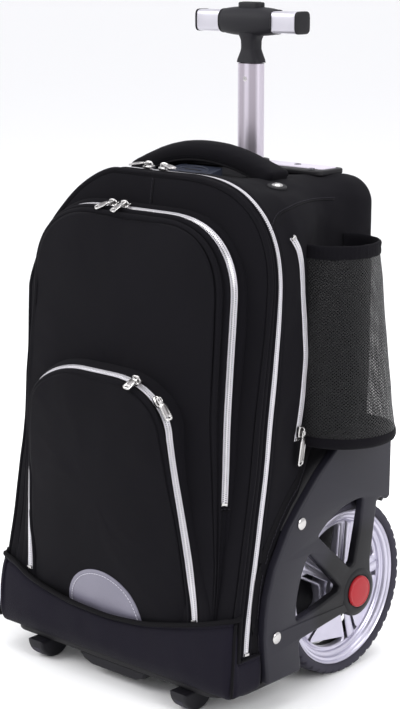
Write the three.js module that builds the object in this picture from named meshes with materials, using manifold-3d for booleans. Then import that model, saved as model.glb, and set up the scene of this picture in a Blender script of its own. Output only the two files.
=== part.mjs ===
// A wheeled backpack: a soft bag with a main compartment and two zipped front pockets, a mesh
// bottle pocket on each side, and two large wheels under moulded guards, pulled by a two stage
// handle with a T grip. Millimetres, +Z up, +X to one side, the front faces -Y.
// Lengths in depth are counted forward from the back panel, whose plane is y = 0 while the pieces
// are made. The whole is then moved so that the origin lies on the floor under its middle.
import * as THREE from "three";
import { mergeVertices } from "three/addons/utils/BufferGeometryUtils.js";
import Module from "manifold-3d";

const wasm = await Module();
wasm.setup();

// Clearance between neighbouring pieces, and the thickness of cloth, tape and moulded plastic
const gap = 0.3;
const wall = 2.4;
const pocketWall = 2;
const meshWall = 1.6;
const tapeThick = 2;
const tapeWidth = 8;
const patchThick = 1;
const plastic = 3;

// Main body of the bag
const bodyBottom = 30;
const bodyHeight = 448;
const bodyHalf = 149;
const footHalf = 150;
const footFlare = 3;
const zipSwell = 1.2;
const bodyDepth = 222;
const rearHalf = 132;
const rearTop = 472;
const zipBack = 19;
const faceCrown = 0.5;

// Front pocket, sewn to the body's face
const frontTop = 451;
const frontHalf = 129;
const frontInset = 15;
const frontDepth = 27;
const frontZipEnd = 194;
const frontCrown = 1.5;

// Lower pocket, sewn to the front pocket's face
const lowerTop = 307;
const lowerHalf = 89;
const lowerFlare = 18;
const lowerInset = 7;
const lowerDepth = 33;
const lowerCrown = 12;

// Panel round the foot of the bag, and what it stands on
const bandThick = 3;
const bandCrown = 9;
const bandLow = 70;
const bandRise = 27;
const plateThick = 6;
const footAcross = 95;
const footWidth = 20;
const footAhead = bodyDepth - 13;
const skidHalf = 40;
const skidDepth = 15;
const skidRise = 9;

// Wheels
const wheelRadius = 85;
const wheelWidth = 36;
const wheelOuterX = 146.6;
const axleAhead = 48.3;
const axleRadius = 6;
const rimRadius = 75;
const rimWidth = 30;
const hubRadius = 17;
const wheelWindows = 5;

// Wheel guards
const guardOuterX = 161;
const guardThick = 10;
const archRadius = 90;
const guardInnerX = 101;
const hubBossRadius = 24;
const capRadius = 15;
const capThick = 3;
const rivetRadius = 5.5;

// Bottle pockets
const bottleAhead = 68;
const bottleX = 150;
const bottleBottom = 237;
const bottleTop = 423;
const bottleReach = 45;
const bottleHalfDepth = 48;
const hemHeight = 12;
const hemThick = 3;

// Pull handle
const poleAhead = 21.3;
const poleWidth = 27;
const poleDepth = 18;
const tubeWall = 1.5;
const slideGap = 0.4;
const gripHeight = 610;
const neckBottom = gripHeight - 39;
const gripHalf = 35;
const gripRadius = 13.4;
const sleeveEnd = 68;
const sleeveHeight = 20.6;
const sleeveSocket = 5;
const endCapThick = 2.3;
const buttonLength = 30;
const buttonWidth = 13;
const buttonHeight = 9;
const buttonTravel = 3.5;
const innerTubeLength = 400;
const outerTubeBottom = 52;
const housingBottom = 36;
const topPlateHalf = 104;
const topPlateDepth = 40;
const topPlateThick = 6;

// Carrying: grab handle over the top, pad and shoulder straps on the back
const grabAhead = 87;
const grabHalf = 97;
const grabThick = 20;
const grabWide = 26;
const grabTop = 501;
const grabSag = 19;
const padThick = 10;
const strapThick = 11;
const strapWidth = 62;
const webWidth = 25;
const webThick = 2;

// Zip sliders and their pulls
const sliderLength = 13;
const sliderWidth = 9;
const sliderHeight = 4;
const pullWidth = 6.5;
const pullThick = 1.6;

const bodyTop = bodyBottom + bodyHeight;
const axleY = -axleAhead;

const materials = {
  fabric: new THREE.MeshStandardMaterial({ color: 0x222025, roughness: 0.9 }),
  baseFabric: new THREE.MeshStandardMaterial({ color: 0x2a2732, roughness: 0.7 }),
  mesh: new THREE.MeshStandardMaterial({ color: 0x2f2f33, roughness: 0.8 }),
  zip: new THREE.MeshStandardMaterial({ color: 0xc8c6cc, roughness: 0.35, metalness: 0.7 }),
  nickel: new THREE.MeshStandardMaterial({ color: 0xd8d6da, roughness: 0.2, metalness: 1 }),
  reflector: new THREE.MeshStandardMaterial({ color: 0x8a8697, roughness: 0.5 }),
  guard: new THREE.MeshStandardMaterial({ color: 0x3f3d4a, roughness: 0.5 }),
  rubber: new THREE.MeshStandardMaterial({ color: 0x343238, roughness: 0.8 }),
  tyre: new THREE.MeshStandardMaterial({ color: 0x3a3844, roughness: 0.85 }),
  rim: new THREE.MeshStandardMaterial({ color: 0xcfccdd, roughness: 0.35, metalness: 0.5 }),
  red: new THREE.MeshStandardMaterial({ color: 0xbf3d49, roughness: 0.45 }),
  tube: new THREE.MeshStandardMaterial({ color: 0xcfc7d4, roughness: 0.3, metalness: 0.9 }),
  steel: new THREE.MeshStandardMaterial({ color: 0x9a9aa0, roughness: 0.35, metalness: 0.9 }),
};

const backpack = new THREE.Group();

function add(name, geometry, material) {
  const mesh = new THREE.Mesh(geometry, material);
  mesh.name = name;
  backpack.add(mesh);
  return mesh;
}

// Solids: a closed geometry becomes a body that can be joined and cut, and comes back

function solid(geometry) {
  const bare = new THREE.BufferGeometry();
  bare.setAttribute("position", geometry.getAttribute("position").clone());
  if (geometry.index) bare.setIndex(geometry.index.clone());
  const merged = mergeVertices(bare, 1e-4);
  return new wasm.Manifold(
    new wasm.Mesh({
      numProp: 3,
      vertProperties: merged.getAttribute("position").array,
      triVerts: new Uint32Array(merged.index.array),
    }),
  );
}

function geometryOf(body) {
  const mesh = body.getMesh();
  const positions = new Float32Array(mesh.numVert * 3);
  for (let i = 0; i < mesh.numVert; i++) {
    positions.set(mesh.vertProperties.subarray(i * mesh.numProp, i * mesh.numProp + 3), i * 3);
  }
  const geometry = new THREE.BufferGeometry();
  geometry.setAttribute("position", new THREE.BufferAttribute(positions, 3));
  geometry.setIndex(Array.from(mesh.triVerts));
  geometry.computeVertexNormals();
  return geometry;
}

function join(...bodies) {
  return bodies.reduce((whole, body) => whole.add(body));
}

function cut(body, ...tools) {
  return tools.reduce((left, tool) => left.subtract(tool), body);
}

// The largest piece that a cut leaves, without the slivers beside it
function largest(body) {
  return body.decompose().sort((a, b) => b.volume() - a.volume())[0];
}

function mirrored(geometry) {
  const copy = geometry.index ? geometry.toNonIndexed() : geometry.clone();
  const position = copy.getAttribute("position");
  for (let i = 0; i < position.count; i += 3) {
    for (let k = 0; k < 3; k++) position.setX(i + k, -position.getX(i + k));
    const second = new THREE.Vector3().fromBufferAttribute(position, i + 1);
    const third = new THREE.Vector3().fromBufferAttribute(position, i + 2);
    position.setXYZ(i + 1, third.x, third.y, third.z);
    position.setXYZ(i + 2, second.x, second.y, second.z);
  }
  copy.computeVertexNormals();
  return copy;
}

function addPair(name, geometry, material) {
  add(name + "_right", geometry, material);
  add(name + "_left", mirrored(geometry), material);
}

// A pair whose two sides are each cut by what they rest on
function addCutPair(name, body, tools, material) {
  const other = solid(mirrored(geometryOf(body)));
  add(name + "_right", geometryOf(largest(cut(body, ...tools))), material);
  add(name + "_left", geometryOf(largest(cut(other, ...tools))), material);
}

// Joins rings of points, each with as many points, and closes both ends to a middle point.
// The second half of each ring is split along the other diagonal, so that a symmetric ring stays so.
function loft(rings, tips = []) {
  const count = rings[0].length;
  const middle = (ring) => ring.reduce((sum, p) => sum.add(p), new THREE.Vector3()).divideScalar(count);
  const points = [...rings.flat(), tips[0] ?? middle(rings[0]), tips[1] ?? middle(rings.at(-1))];
  const faces = [];
  const startTip = points.length - 2;
  const endTip = points.length - 1;
  for (let i = 0; i < count; i++) {
    const next = (i + 1) % count;
    faces.push([startTip, next, i]);
    for (let r = 0; r + 1 < rings.length; r++) {
      const near = r * count;
      const far = near + count;
      if (i < count / 2) faces.push([near + i, near + next, far + next], [near + i, far + next, far + i]);
      else faces.push([near + i, near + next, far + i], [near + next, far + next, far + i]);
    }
    const last = (rings.length - 1) * count;
    faces.push([endTip, last + i, last + next]);
  }
  let volume = 0;
  for (const [a, b, c] of faces) volume += points[a].dot(points[b].clone().cross(points[c]));
  if (volume < 0) faces.forEach((face) => face.reverse());
  const geometry = new THREE.BufferGeometry();
  const numbers = points.flatMap((p) => p.toArray());
  geometry.setAttribute("position", new THREE.Float32BufferAttribute(numbers, 3));
  geometry.setIndex(faces.flat());
  geometry.computeVertexNormals();
  return geometry;
}

// Extrusions along X of a shape drawn in (y, z), along Y of one in (x, z), along Z of one in (x, y)

function extrudeAlong(basis, shape, length, bevel) {
  const options = { depth: length, bevelEnabled: bevel > 0, curveSegments: 2 };
  if (bevel > 0) {
    Object.assign(options, { depth: length - 2 * bevel, bevelSize: bevel, bevelThickness: bevel,
      bevelOffset: -bevel, bevelSegments: 1 });
  }
  const geometry = new THREE.ExtrudeGeometry(shape, options);
  if (bevel > 0) geometry.translate(0, 0, bevel);
  return geometry.applyMatrix4(new THREE.Matrix4().makeBasis(...basis));
}

const axisX = new THREE.Vector3(1, 0, 0);
const axisY = new THREE.Vector3(0, 1, 0);
const axisZ = new THREE.Vector3(0, 0, 1);

function acrossX(shape, from, to, bevel = 0) {
  return extrudeAlong([axisY, axisZ, axisX], shape, to - from, bevel).translate(from, 0, 0);
}

function acrossY(shape, from, to, bevel = 0) {
  const backwards = axisY.clone().negate();
  return extrudeAlong([axisX, axisZ, backwards], shape, to - from, bevel).translate(0, to, 0);
}

function acrossZ(shape, from, to, bevel = 0) {
  return extrudeAlong([axisX, axisY, axisZ], shape, to - from, bevel).translate(0, 0, from);
}

function polygon(points) {
  return new THREE.Shape(points.map(([u, v]) => new THREE.Vector2(u, v)));
}

function roundedBox(width, height, radius, centreU = 0, centreV = 0, steps = 2) {
  const points = [];
  const corners = [[1, -1, -90], [1, 1, 0], [-1, 1, 90], [-1, -1, 180]];
  for (const [u, v, from] of corners) {
    for (let i = 0; i <= steps; i++) {
      const turn = THREE.MathUtils.degToRad(from + (90 * i) / steps);
      points.push([centreU + u * (width / 2 - radius) + radius * Math.cos(turn),
        centreV + v * (height / 2 - radius) + radius * Math.sin(turn)]);
    }
  }
  return polygon(points);
}

function oval(width, depthOf, centreU, centreV, sides = 12) {
  const points = [];
  for (let i = 0; i < sides; i++) {
    const turn = (i / sides) * 2 * Math.PI;
    points.push([centreU + (width / 2) * Math.cos(turn), centreV + (depthOf / 2) * Math.sin(turn)]);
  }
  return polygon(points);
}

function disc(radius, sides, centreU = axleY, centreV = wheelRadius) {
  return oval(2 * radius, 2 * radius, centreU, centreV, sides);
}

function tube(outerWidth, outerDepth, thickness, from, to) {
  const shape = oval(outerWidth, outerDepth, 0, -poleAhead);
  shape.holes.push(oval(outerWidth - 2 * thickness, outerDepth - 2 * thickness, 0, -poleAhead));
  return acrossZ(shape, from, to);
}

// A turned piece whose axis runs along X: its profile is rows of [distance along X, radius]
function turnedX(profile, segments, x, y, z) {
  const points = profile.map(([along, radius]) => new THREE.Vector2(radius, along));
  return new THREE.LatheGeometry(points, segments).rotateZ(-Math.PI / 2).translate(x, y, z);
}

function box(width, depthOf, height, x, y, z) {
  return new THREE.BoxGeometry(width, depthOf, height).translate(x, y, z);
}

// Value at a place in a table of [place, value] rows, both as shares
function lookUp(table, place) {
  if (place <= table[0][0]) return table[0][1];
  for (let i = 1; i < table.length; i++) {
    const [from, low] = table[i - 1];
    const [to, high] = table[i];
    if (place <= to) return low + ((high - low) * (place - from)) / (to - from);
  }
  return table.at(-1)[1];
}

const sideSteps = 4;
const shoulderSteps = 4;
const cornerSteps = 1;

// One side of an arched panel seen from the front, from the middle of its foot to the middle of its
// top. It runs straight from the foot to the shoulder, which is a quarter ellipse.
function archSide(outline, grow, shoulder, rise) {
  const { foot, half, bottom, top, corner } = outline;
  const low = bottom - grow;
  const high = top + grow;
  const footX = foot + grow;
  const sideX = half + grow;
  const side = [[0, low]];
  for (let i = 0; i <= cornerSteps; i++) {
    const turn = (i / cornerSteps) * (Math.PI / 2);
    side.push([footX - corner + corner * Math.sin(turn), low + corner * (1 - Math.cos(turn))]);
  }
  const lowEnd = low + corner;
  const highEnd = high - rise;
  for (let i = 1; i < sideSteps; i++) {
    const share = i / sideSteps;
    side.push([footX + (sideX - footX) * share, lowEnd + (highEnd - lowEnd) * share]);
  }
  for (let i = 0; i <= shoulderSteps; i++) {
    const turn = (i / shoulderSteps) * (Math.PI / 2);
    side.push([sideX - shoulder * (1 - Math.cos(turn)), highEnd + rise * Math.sin(turn)]);
  }
  side.push([0, high]);
  return side;
}

// The whole outline: the soft bag has slumped on the left, where a shoulder may have its own size
function archRing(outline, grow, place) {
  const { shoulder, rise, leftShoulder = shoulder, leftRise = rise } = outline;
  const right = archSide(outline, grow, shoulder, rise);
  const left = archSide(outline, grow, leftShoulder, leftRise).slice(1, -1).reverse();
  return [...right, ...left.map(([x, z]) => [-x, z])].map(([x, z]) => place(x, z));
}

// A ring drawn in towards its middle, for the inner rings of a face that bulges by a push
function insetRing(ring, share, face, push) {
  const low = Math.min(...ring.map((p) => p.z));
  const high = Math.max(...ring.map((p) => p.z));
  const middle = (low + high) / 2;
  return ring.map((p) => {
    const z = middle + (p.z - middle) * share;
    return new THREE.Vector3(p.x * share, -face(z) - push, z);
  });
}

// Main body

// How far the body's face lies in front of the back, up its height: [share of height, share of depth]
const faceLean = [[0, 1], [0.1, 0.98], [0.2, 0.944], [0.33, 0.896], [0.44, 0.86], [0.55, 0.833],
  [0.65, 0.808], [0.8, 0.772], [1, 0.772]];

function bodyFace(z) {
  return bodyDepth * lookUp(faceLean, (z - bodyBottom) / bodyHeight);
}

const frontOutline = { foot: footHalf + footFlare, half: bodyHalf, bottom: bodyBottom, top: bodyTop,
  shoulder: 76, rise: 86, leftShoulder: 118, leftRise: 122, corner: 16 };
const zipOutline = { ...frontOutline, foot: footHalf, half: bodyHalf + zipSwell, top: bodyTop + 3 };

// Sections behind the zip: depth as a share of the body's, how far the side has come in to the rear
// half width, and the shoulder's width and height
const rearSections = [
  { back: 0.56, narrow: 0.05, shoulder: 74, rise: 70 },
  { back: 0.44, narrow: 0.55, shoulder: 66, rise: 48 },
  { back: 0.3, narrow: 1.15, shoulder: 50, rise: 34 },
  { back: 0.02, narrow: 0.9, shoulder: 28, rise: 24 },
];

function faceRing(outline, grow, face, back) {
  return archRing(outline, grow, (x, z) => new THREE.Vector3(x, -face(z) + back, z));
}

function bodyZipRing(grow, back) {
  return faceRing(zipOutline, grow, bodyFace, back);
}

function bodyRings(grow, crown) {
  const edge = faceRing(frontOutline, grow, bodyFace, -grow);
  const rings = [
    insetRing(edge, 0.5, bodyFace, grow + crown),
    insetRing(edge, 0.94, bodyFace, grow + crown * 0.8),
    edge,
    bodyZipRing(grow, zipBack - tapeWidth / 2),
    bodyZipRing(grow, zipBack + tapeWidth / 2),
  ];
  for (const { back, narrow, shoulder, rise } of rearSections) {
    const half = bodyHalf + (rearHalf - bodyHalf) * narrow;
    const slumped = back > 0.5;
    const outline = { ...zipOutline, half, foot: half, top: rearTop, shoulder, rise,
      leftShoulder: shoulder * (slumped ? 1.15 : 1), leftRise: rise * (slumped ? 1.2 : 1) };
    rings.push(archRing(outline, grow, (x, z) => new THREE.Vector3(x, -bodyDepth * back, z)));
  }
  const rear = { ...frontOutline, half: rearHalf - 4, foot: rearHalf - 4, top: rearTop - 5,
    shoulder: 24, rise: 22, leftShoulder: 24, leftRise: 22 };
  const rearRing = archRing(rear, grow, (x, z) => new THREE.Vector3(x, grow, z));
  rings.push(rearRing);
  return rings;
}

function bodySolid(grow, crown = faceCrown) {
  return solid(loft(bodyRings(grow, crown)));
}

// Points of an arc round the axle, as [y, z]
function archPoints(radius, fromDegrees, toDegrees, steps) {
  const points = [];
  for (let i = 0; i <= steps; i++) {
    const turn = THREE.MathUtils.degToRad(fromDegrees + ((toDegrees - fromDegrees) * i) / steps);
    points.push([axleY + radius * Math.cos(turn), wheelRadius + radius * Math.sin(turn)]);
  }
  return points;
}

// The room a wheel needs: round over the wheel and straight down in front and behind
function wellGeometry(radius, from, to) {
  const points = [[axleY - radius, -60], [axleY + radius, -60], ...archPoints(radius, 0, 180, 14)];
  return acrossX(polygon(points), from, to);
}

// The wells in the bag that the wheels and their guards sit in
function wellSolid(grow) {
  const well = wellGeometry(archRadius + plastic + grow, guardInnerX - grow, 220);
  return join(solid(well), solid(mirrored(well)));
}

// A strip between two rings of points, stretched out and in along the outline's normal
function strip(front, rear, proud, deep, clear = 0) {
  const rings = front.map((p, i) => {
    const q = rear[i];
    const before = front[Math.max(i - 1, 0)];
    const after = front[Math.min(i + 1, front.length - 1)];
    const along = after.clone().sub(before).normalize();
    const across = q.clone().sub(p).normalize();
    const out = new THREE.Vector3().crossVectors(across, along).normalize();
    const low = p.clone().addScaledVector(across, -clear);
    const high = q.clone().addScaledVector(across, clear);
    return [
      low.clone().addScaledVector(out, proud),
      high.clone().addScaledVector(out, proud),
      high.clone().addScaledVector(out, -deep),
      low.clone().addScaledVector(out, -deep),
    ];
  });
  return solid(loft(rings));
}

// The part of a ring above a height, in order from one foot of the arch to the other
function archPart(ring, lowest) {
  const start = ring.findIndex((p) => p.z >= lowest && p.x > 0);
  const part = ring.slice(start).filter((p) => p.z >= lowest);
  return part;
}

// As archPart, but with its two ends moved along to the height asked for
function archFrom(ring, lowest) {
  const part = archPart(ring, lowest);
  const first = ring.indexOf(part[0]);
  const last = ring.indexOf(part.at(-1));
  const at = (above, below) => above.clone().lerp(below, (above.z - lowest) / (above.z - below.z));
  return [at(part[0], ring[first - 1]), ...part, at(part.at(-1), ring[(last + 1) % ring.length])];
}

const mainZipEnd = 59;
const slotClear = 0.5;
const zipFront = archFrom(bodyZipRing(0, zipBack - tapeWidth / 2), mainZipEnd);
const zipRear = archFrom(bodyZipRing(0, zipBack + tapeWidth / 2), mainZipEnd);
const mainZip = strip(zipFront, zipRear, 0, tapeThick, -gap);
const mainSlot = strip(zipFront, zipRear, 6, 9, slotClear);

// The handle's two tubes slide in a fixed housing, each a wall and a sliding gap wider than the last
const nest = 2 * (tubeWall + slideGap);
const outerTubeWidth = poleWidth + nest;
const outerTubeDepth = poleDepth + nest;
const housingWidth = outerTubeWidth + nest;
const housingDepth = outerTubeDepth + nest;
const poleHole = solid(acrossZ(oval(housingWidth + 2 * gap, housingDepth + 2 * gap, 0, -poleAhead),
  rearTop - 40, rearTop + 20));

const bodyClear = bodySolid(gap);
const bodyInside = cut(bodySolid(-wall), wellSolid(gap + wall));
const mainShell = cut(bodySolid(0), wellSolid(gap), bodyInside, mainSlot, poleHole);
add("main_shell", geometryOf(mainShell), materials.fabric);
add("zip_main", geometryOf(mainZip), materials.zip);

// Front pocket

const frontOutlineRear = { foot: frontHalf + 5, half: frontHalf, bottom: bandLow, top: frontTop,
  shoulder: 60, rise: 72, corner: 10 };
const frontOutlineFace = { ...frontOutlineRear, foot: frontHalf + 1, half: frontHalf - frontInset,
  top: frontTop - frontInset * 0.7, shoulder: 54, rise: 66 };

// Depth of the front pocket up its height: [share of height, share of depth]
const frontBulge = [[0, 0.15], [0.16, 0.2], [0.3, 0.5], [0.5, 0.86], [0.65, 0.96], [0.85, 1], [1, 0.86]];

function frontFace(z) {
  const share = (z - bandLow) / (frontTop - bandLow);
  return bodyFace(z) + frontDepth * lookUp(frontBulge, share);
}

function frontZipRing(grow, back) {
  const half = frontHalf + back * 0.4;
  return faceRing({ ...frontOutlineRear, half }, grow, bodyFace, back);
}

function frontRings(grow) {
  const edge = faceRing(frontOutlineFace, grow, frontFace, -grow);
  return [
    insetRing(edge, 0.5, frontFace, grow + frontCrown),
    insetRing(edge, 0.94, frontFace, grow + frontCrown * 0.8),
    edge,
    frontZipRing(grow, -tapeWidth - 2.5),
    frontZipRing(grow, -2.5),
    frontZipRing(grow, 8),
  ];
}

function frontSolid(grow) {
  return solid(loft(frontRings(grow)));
}

const frontZipFore = archFrom(frontZipRing(0, -tapeWidth - 2.5), frontZipEnd);
const frontZipHind = archFrom(frontZipRing(0, -2.5), frontZipEnd);
const frontZip = largest(cut(strip(frontZipFore, frontZipHind, 0, tapeThick, -gap), bodyClear));
const frontSlot = strip(frontZipFore, archFrom(frontZipRing(0, 8), frontZipEnd), 6, 7, slotClear);
const frontShell = cut(frontSolid(0), frontSolid(-pocketWall), bodyClear, frontSlot);

// Lower pocket

const lowerOutlineRear = { foot: lowerHalf + lowerFlare + 2, half: lowerHalf, bottom: bandLow,
  top: lowerTop, shoulder: 52, rise: 50, corner: 8 };
const lowerOutlineFace = { ...lowerOutlineRear, foot: lowerOutlineRear.foot - lowerInset,
  half: lowerHalf - lowerInset, top: lowerTop - lowerInset };

const lowerZipBack = 2.5;

// Depth of the lower pocket up its height: [share of height, share of depth]
const lowerBulge = [[0, 0.12], [0.1, 0.17], [0.26, 0.4], [0.48, 0.58], [0.74, 0.83], [1, 1]];

function lowerDepthAt(z) {
  return lowerDepth * lookUp(lowerBulge, (z - bandLow) / (lowerTop - bandLow));
}

function lowerFace(z) {
  return frontFace(z) + frontCrown + lowerDepthAt(z);
}

// A ring between the face edge and the seam on the front pocket, at a share of the way back. The
// share is less low down, where the pocket is shallow.
function lowerZipRing(grow, back) {
  const outline = { ...lowerOutlineRear };
  for (const side of ["foot", "half", "top"]) {
    outline[side] = THREE.MathUtils.lerp(lowerOutlineFace[side], lowerOutlineRear[side], back / 16);
  }
  return archRing(outline, grow, (x, z) => {
    const behind = Math.min(back, lowerDepthAt(z) * (back / 16));
    return new THREE.Vector3(x, -lowerFace(z) + behind, z);
  });
}

function lowerRings(grow) {
  const edge = faceRing(lowerOutlineFace, grow, lowerFace, -grow);
  return [
    insetRing(edge, 0.45, lowerFace, grow + lowerCrown),
    insetRing(edge, 0.86, lowerFace, grow + lowerCrown * 0.55),
    edge,
    lowerZipRing(grow, lowerZipBack),
    lowerZipRing(grow, lowerZipBack + tapeWidth),
    faceRing(lowerOutlineRear, grow, frontFace, 8),
  ];
}

function lowerSolid(grow) {
  return solid(loft(lowerRings(grow)));
}

const lowerZipEnd = bandLow + 26;
const lowerZipFore = archFrom(lowerZipRing(0, lowerZipBack), lowerZipEnd);
const lowerZipHind = archFrom(lowerZipRing(0, lowerZipBack + tapeWidth), lowerZipEnd);
const frontClear = frontSolid(gap);
const lowerZip = largest(cut(strip(lowerZipFore, lowerZipHind, 0, tapeThick, -gap), frontClear));
const lowerSlot = strip(lowerZipFore, lowerZipHind, 6, 7, slotClear);

// Panel round the foot, with its upper edge lowest in the middle of the front

function bandTopAt(x) {
  return bandLow + bandRise * Math.min((x / footHalf) ** 2, 1.1);
}

function bandRegion(raise) {
  const points = [[-220, -20], [220, -20]];
  const steps = 12;
  for (let i = 0; i <= steps; i++) {
    const x = 170 - (340 * i) / steps;
    points.push([x === 170 ? 220 : x === -170 ? -220 : x, bandTopAt(x) + raise]);
  }
  return solid(acrossY(polygon(points), -300, 40));
}

const bandAbove = bandRegion(gap);
const lowerShell = largest(cut(lowerSolid(0), lowerSolid(-pocketWall), frontClear, bodyClear, lowerSlot,
  bandAbove));
const frontFinished = largest(cut(frontShell, bandAbove));

add("front_pocket", geometryOf(frontFinished), materials.fabric);
add("zip_front", geometryOf(frontZip), materials.zip);
add("lower_pocket", geometryOf(lowerShell), materials.fabric);
add("zip_lower", geometryOf(cut(lowerZip, bandAbove)), materials.zip);

const guardFrontAhead = 184;
const bandWrap = cut(bodySolid(bandThick + gap, bandCrown), bodySolid(gap, bandCrown), wellSolid(gap));
const bandBehind = solid(box(500, 300, 300, 0, -guardFrontAhead - 1 + 150, bodyBottom + 150));
const baseBand = cut(bandWrap.intersect(bandRegion(0)), bandBehind);
add("base_band", geometryOf(baseBand), materials.baseFabric);

// Reflecting half disc sewn to the foot of the lower pocket

const reflectorX = -2;
const reflectorRadius = 44;
const reflectorDisc = solid(acrossY(disc(reflectorRadius, 28, reflectorX, bandLow - 4), -300, -180));
const lowerFilled = cut(lowerSolid(0), bandAbove);
const reflector = cut(lowerFilled.translate([0, -gap - patchThick, 0]).intersect(reflectorDisc),
  lowerFilled.translate([0, -gap, 0]), lowerFilled, frontClear, bodyClear, bandAbove);
add("reflector", geometryOf(reflector), materials.reflector);

// Wheels

const wheelMiddleX = wheelOuterX - wheelWidth / 2;
const halfTyre = wheelWidth / 2;
const halfRim = rimWidth / 2;

const tyreProfile = [[-halfRim, rimRadius], [-halfTyre, wheelRadius - 5], [-halfTyre + 5, wheelRadius],
  [halfTyre - 5, wheelRadius], [halfTyre, wheelRadius - 5], [halfRim, rimRadius], [-halfRim, rimRadius]];
const wheelSides = 32;
addPair("tyre", turnedX(tyreProfile, wheelSides, wheelMiddleX, axleY, wheelRadius), materials.tyre);

// One turned profile from the seat of the tyre to the bore, with the windows cut through its plate
function rimSolid() {
  const sides = 24;
  const seat = rimRadius * Math.cos(Math.PI / wheelSides) - gap;
  const bore = (axleRadius + gap) / Math.cos(Math.PI / sides);
  const front = halfRim - 5;
  const behind = front - 9;
  const profile = [[-halfRim, seat], [-halfRim, seat - 9], [behind, seat - 11], [behind, hubRadius],
    [-halfRim, hubRadius], [-halfRim, bore], [halfRim + 1.5, bore], [front, hubRadius + 1],
    [front, seat - 12], [halfRim, seat - 6], [halfRim, seat], [-halfRim, seat]];
  const turned = solid(turnedX(profile.reverse(), sides, wheelMiddleX, axleY, wheelRadius));
  const windows = [];
  const open = 360 / wheelWindows - 30;
  for (let i = 0; i < wheelWindows; i++) {
    const middle = 90 + (i * 360) / wheelWindows;
    const outer = archPoints(seat - 14, middle - open / 2, middle + open / 2, 2);
    const inner = archPoints(hubRadius + 9, middle + open / 2 - 4, middle - open / 2 + 4, 1);
    const window = acrossX(polygon([...outer, ...inner]), wheelMiddleX - halfRim, wheelMiddleX + halfRim);
    windows.push(solid(window));
  }
  return cut(turned, ...windows);
}

addPair("rim", geometryOf(rimSolid()), materials.rim);

const guardFaceX = guardOuterX - guardThick;
const axle = acrossX(disc(axleRadius, 12), guardInnerX + plastic + gap, guardFaceX - gap);
addPair("axle", axle, materials.steel);

// Wheel guards: an outer plate with three arms to the hub, the arch over the wheel, its inner wall
// and the shelf that closes the top towards the bag

// Front edge of the guard: rows of [distance ahead of the back, height]
const guardEdge = [[179, 30], [182.5, 56], [guardFrontAhead, 75], [180, 112], [171, 138], [151, 170],
  [133, 189], [109, 212], [84.5, 232.5], [74, bottleBottom - 0.8], [0, bottleBottom - 0.8]];

function guardSolid() {
  const edge = guardEdge.map(([ahead, z]) => [-ahead, z]);
  const outline = [[-130, 30], ...archPoints(archRadius, 196, 72, 12), [-16, 163], [0, 166]];
  const plateSide = polygon([...edge, ...outline.reverse()].reverse());
  const plate = solid(acrossX(plateSide, guardFaceX, guardOuterX, 1.5));
  const arms = [
    { root: 78, wide: 11, hubWide: 13 },
    { root: 137, wide: 9, hubWide: 11 },
    { root: 190, wide: 10, hubWide: 13 },
  ].map(({ root, wide, hubWide }) => {
    const turn = THREE.MathUtils.degToRad(root);
    const along = new THREE.Vector2(Math.cos(turn), Math.sin(turn));
    const side = new THREE.Vector2(-along.y, along.x);
    const corners = [[6, -hubWide], [archRadius + 4, -wide], [archRadius + 4, wide], [6, hubWide]];
    const points = corners.map(([out, off]) => [axleY + along.x * out + side.x * off,
      wheelRadius + along.y * out + side.y * off]);
    return solid(acrossX(polygon(points), guardFaceX, guardOuterX - 0.8));
  });
  const hub = solid(acrossX(disc(hubBossRadius, 16), guardFaceX, guardOuterX, 1.5));
  const inReach = solid(box(400, 400, 400, 0, -200, bodyBottom + 200));
  const housing = cut(solid(wellGeometry(archRadius + plastic, guardInnerX, guardFaceX + 2)),
    solid(wellGeometry(archRadius, guardInnerX + plastic, guardFaceX + 20))).intersect(inReach);
  const top = edge.slice(5);
  const under = [...top].reverse().map(([y, z], i) => [y - (i === 0 ? plastic : 0), z - plastic * 1.2]);
  const rearWall = [[-plastic, 168], [0, 166]];
  const skin = polygon([...top, [0, 166], ...rearWall.slice(0, 1), ...under].reverse());
  const shelf = cut(solid(acrossX(skin, rearHalf - 16, guardFaceX + 2)), bodyClear);
  return join(cut(join(plate, ...arms, hub), cut(bodyClear, wellSolid(0))), housing, shelf);
}

addPair("guard", geometryOf(guardSolid()), materials.guard);

function dome(radius, height, x, y, z, segments) {
  const profile = [[0, 0], [0, radius], [height * 0.35, radius], [height * 0.9, radius * 0.55],
    [height, 0]];
  return turnedX(profile, segments, x, y, z);
}

addPair("hub_cap", dome(capRadius, capThick, guardOuterX + gap, axleY, wheelRadius, 16), materials.red);

const rivetPlaces = [[134.1, 172], [167.9, 72.7]];
rivetPlaces.forEach(([ahead, z], i) => {
  const place = i === 0 ? "upper" : "lower";
  const rivet = dome(rivetRadius, 1.8, guardOuterX + gap, -ahead, z, 8);
  addPair("guard_rivet_" + place, rivet, materials.nickel);
});

// What the bag stands on in front: a moulded plate under the foot with two feet and a skid

const plateTop = bodyBottom - bandThick - 2 * gap;
const plateWide = bodyHalf - 4;
const plateNarrow = guardInnerX - 6;
const plateFront = -(bodyDepth - 3);
const plateStep = axleY - archRadius - 4;
const plateShape = polygon([[-plateWide, plateStep], [-plateWide, plateFront + 16],
  [-plateWide + 16, plateFront], [plateWide - 16, plateFront], [plateWide, plateFront + 16],
  [plateWide, plateStep], [plateNarrow, plateStep + 14], [plateNarrow, -8], [-plateNarrow, -8],
  [-plateNarrow, plateStep + 14]]);
add("base_plate", acrossZ(plateShape, plateTop - plateThick, plateTop), materials.guard);

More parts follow.
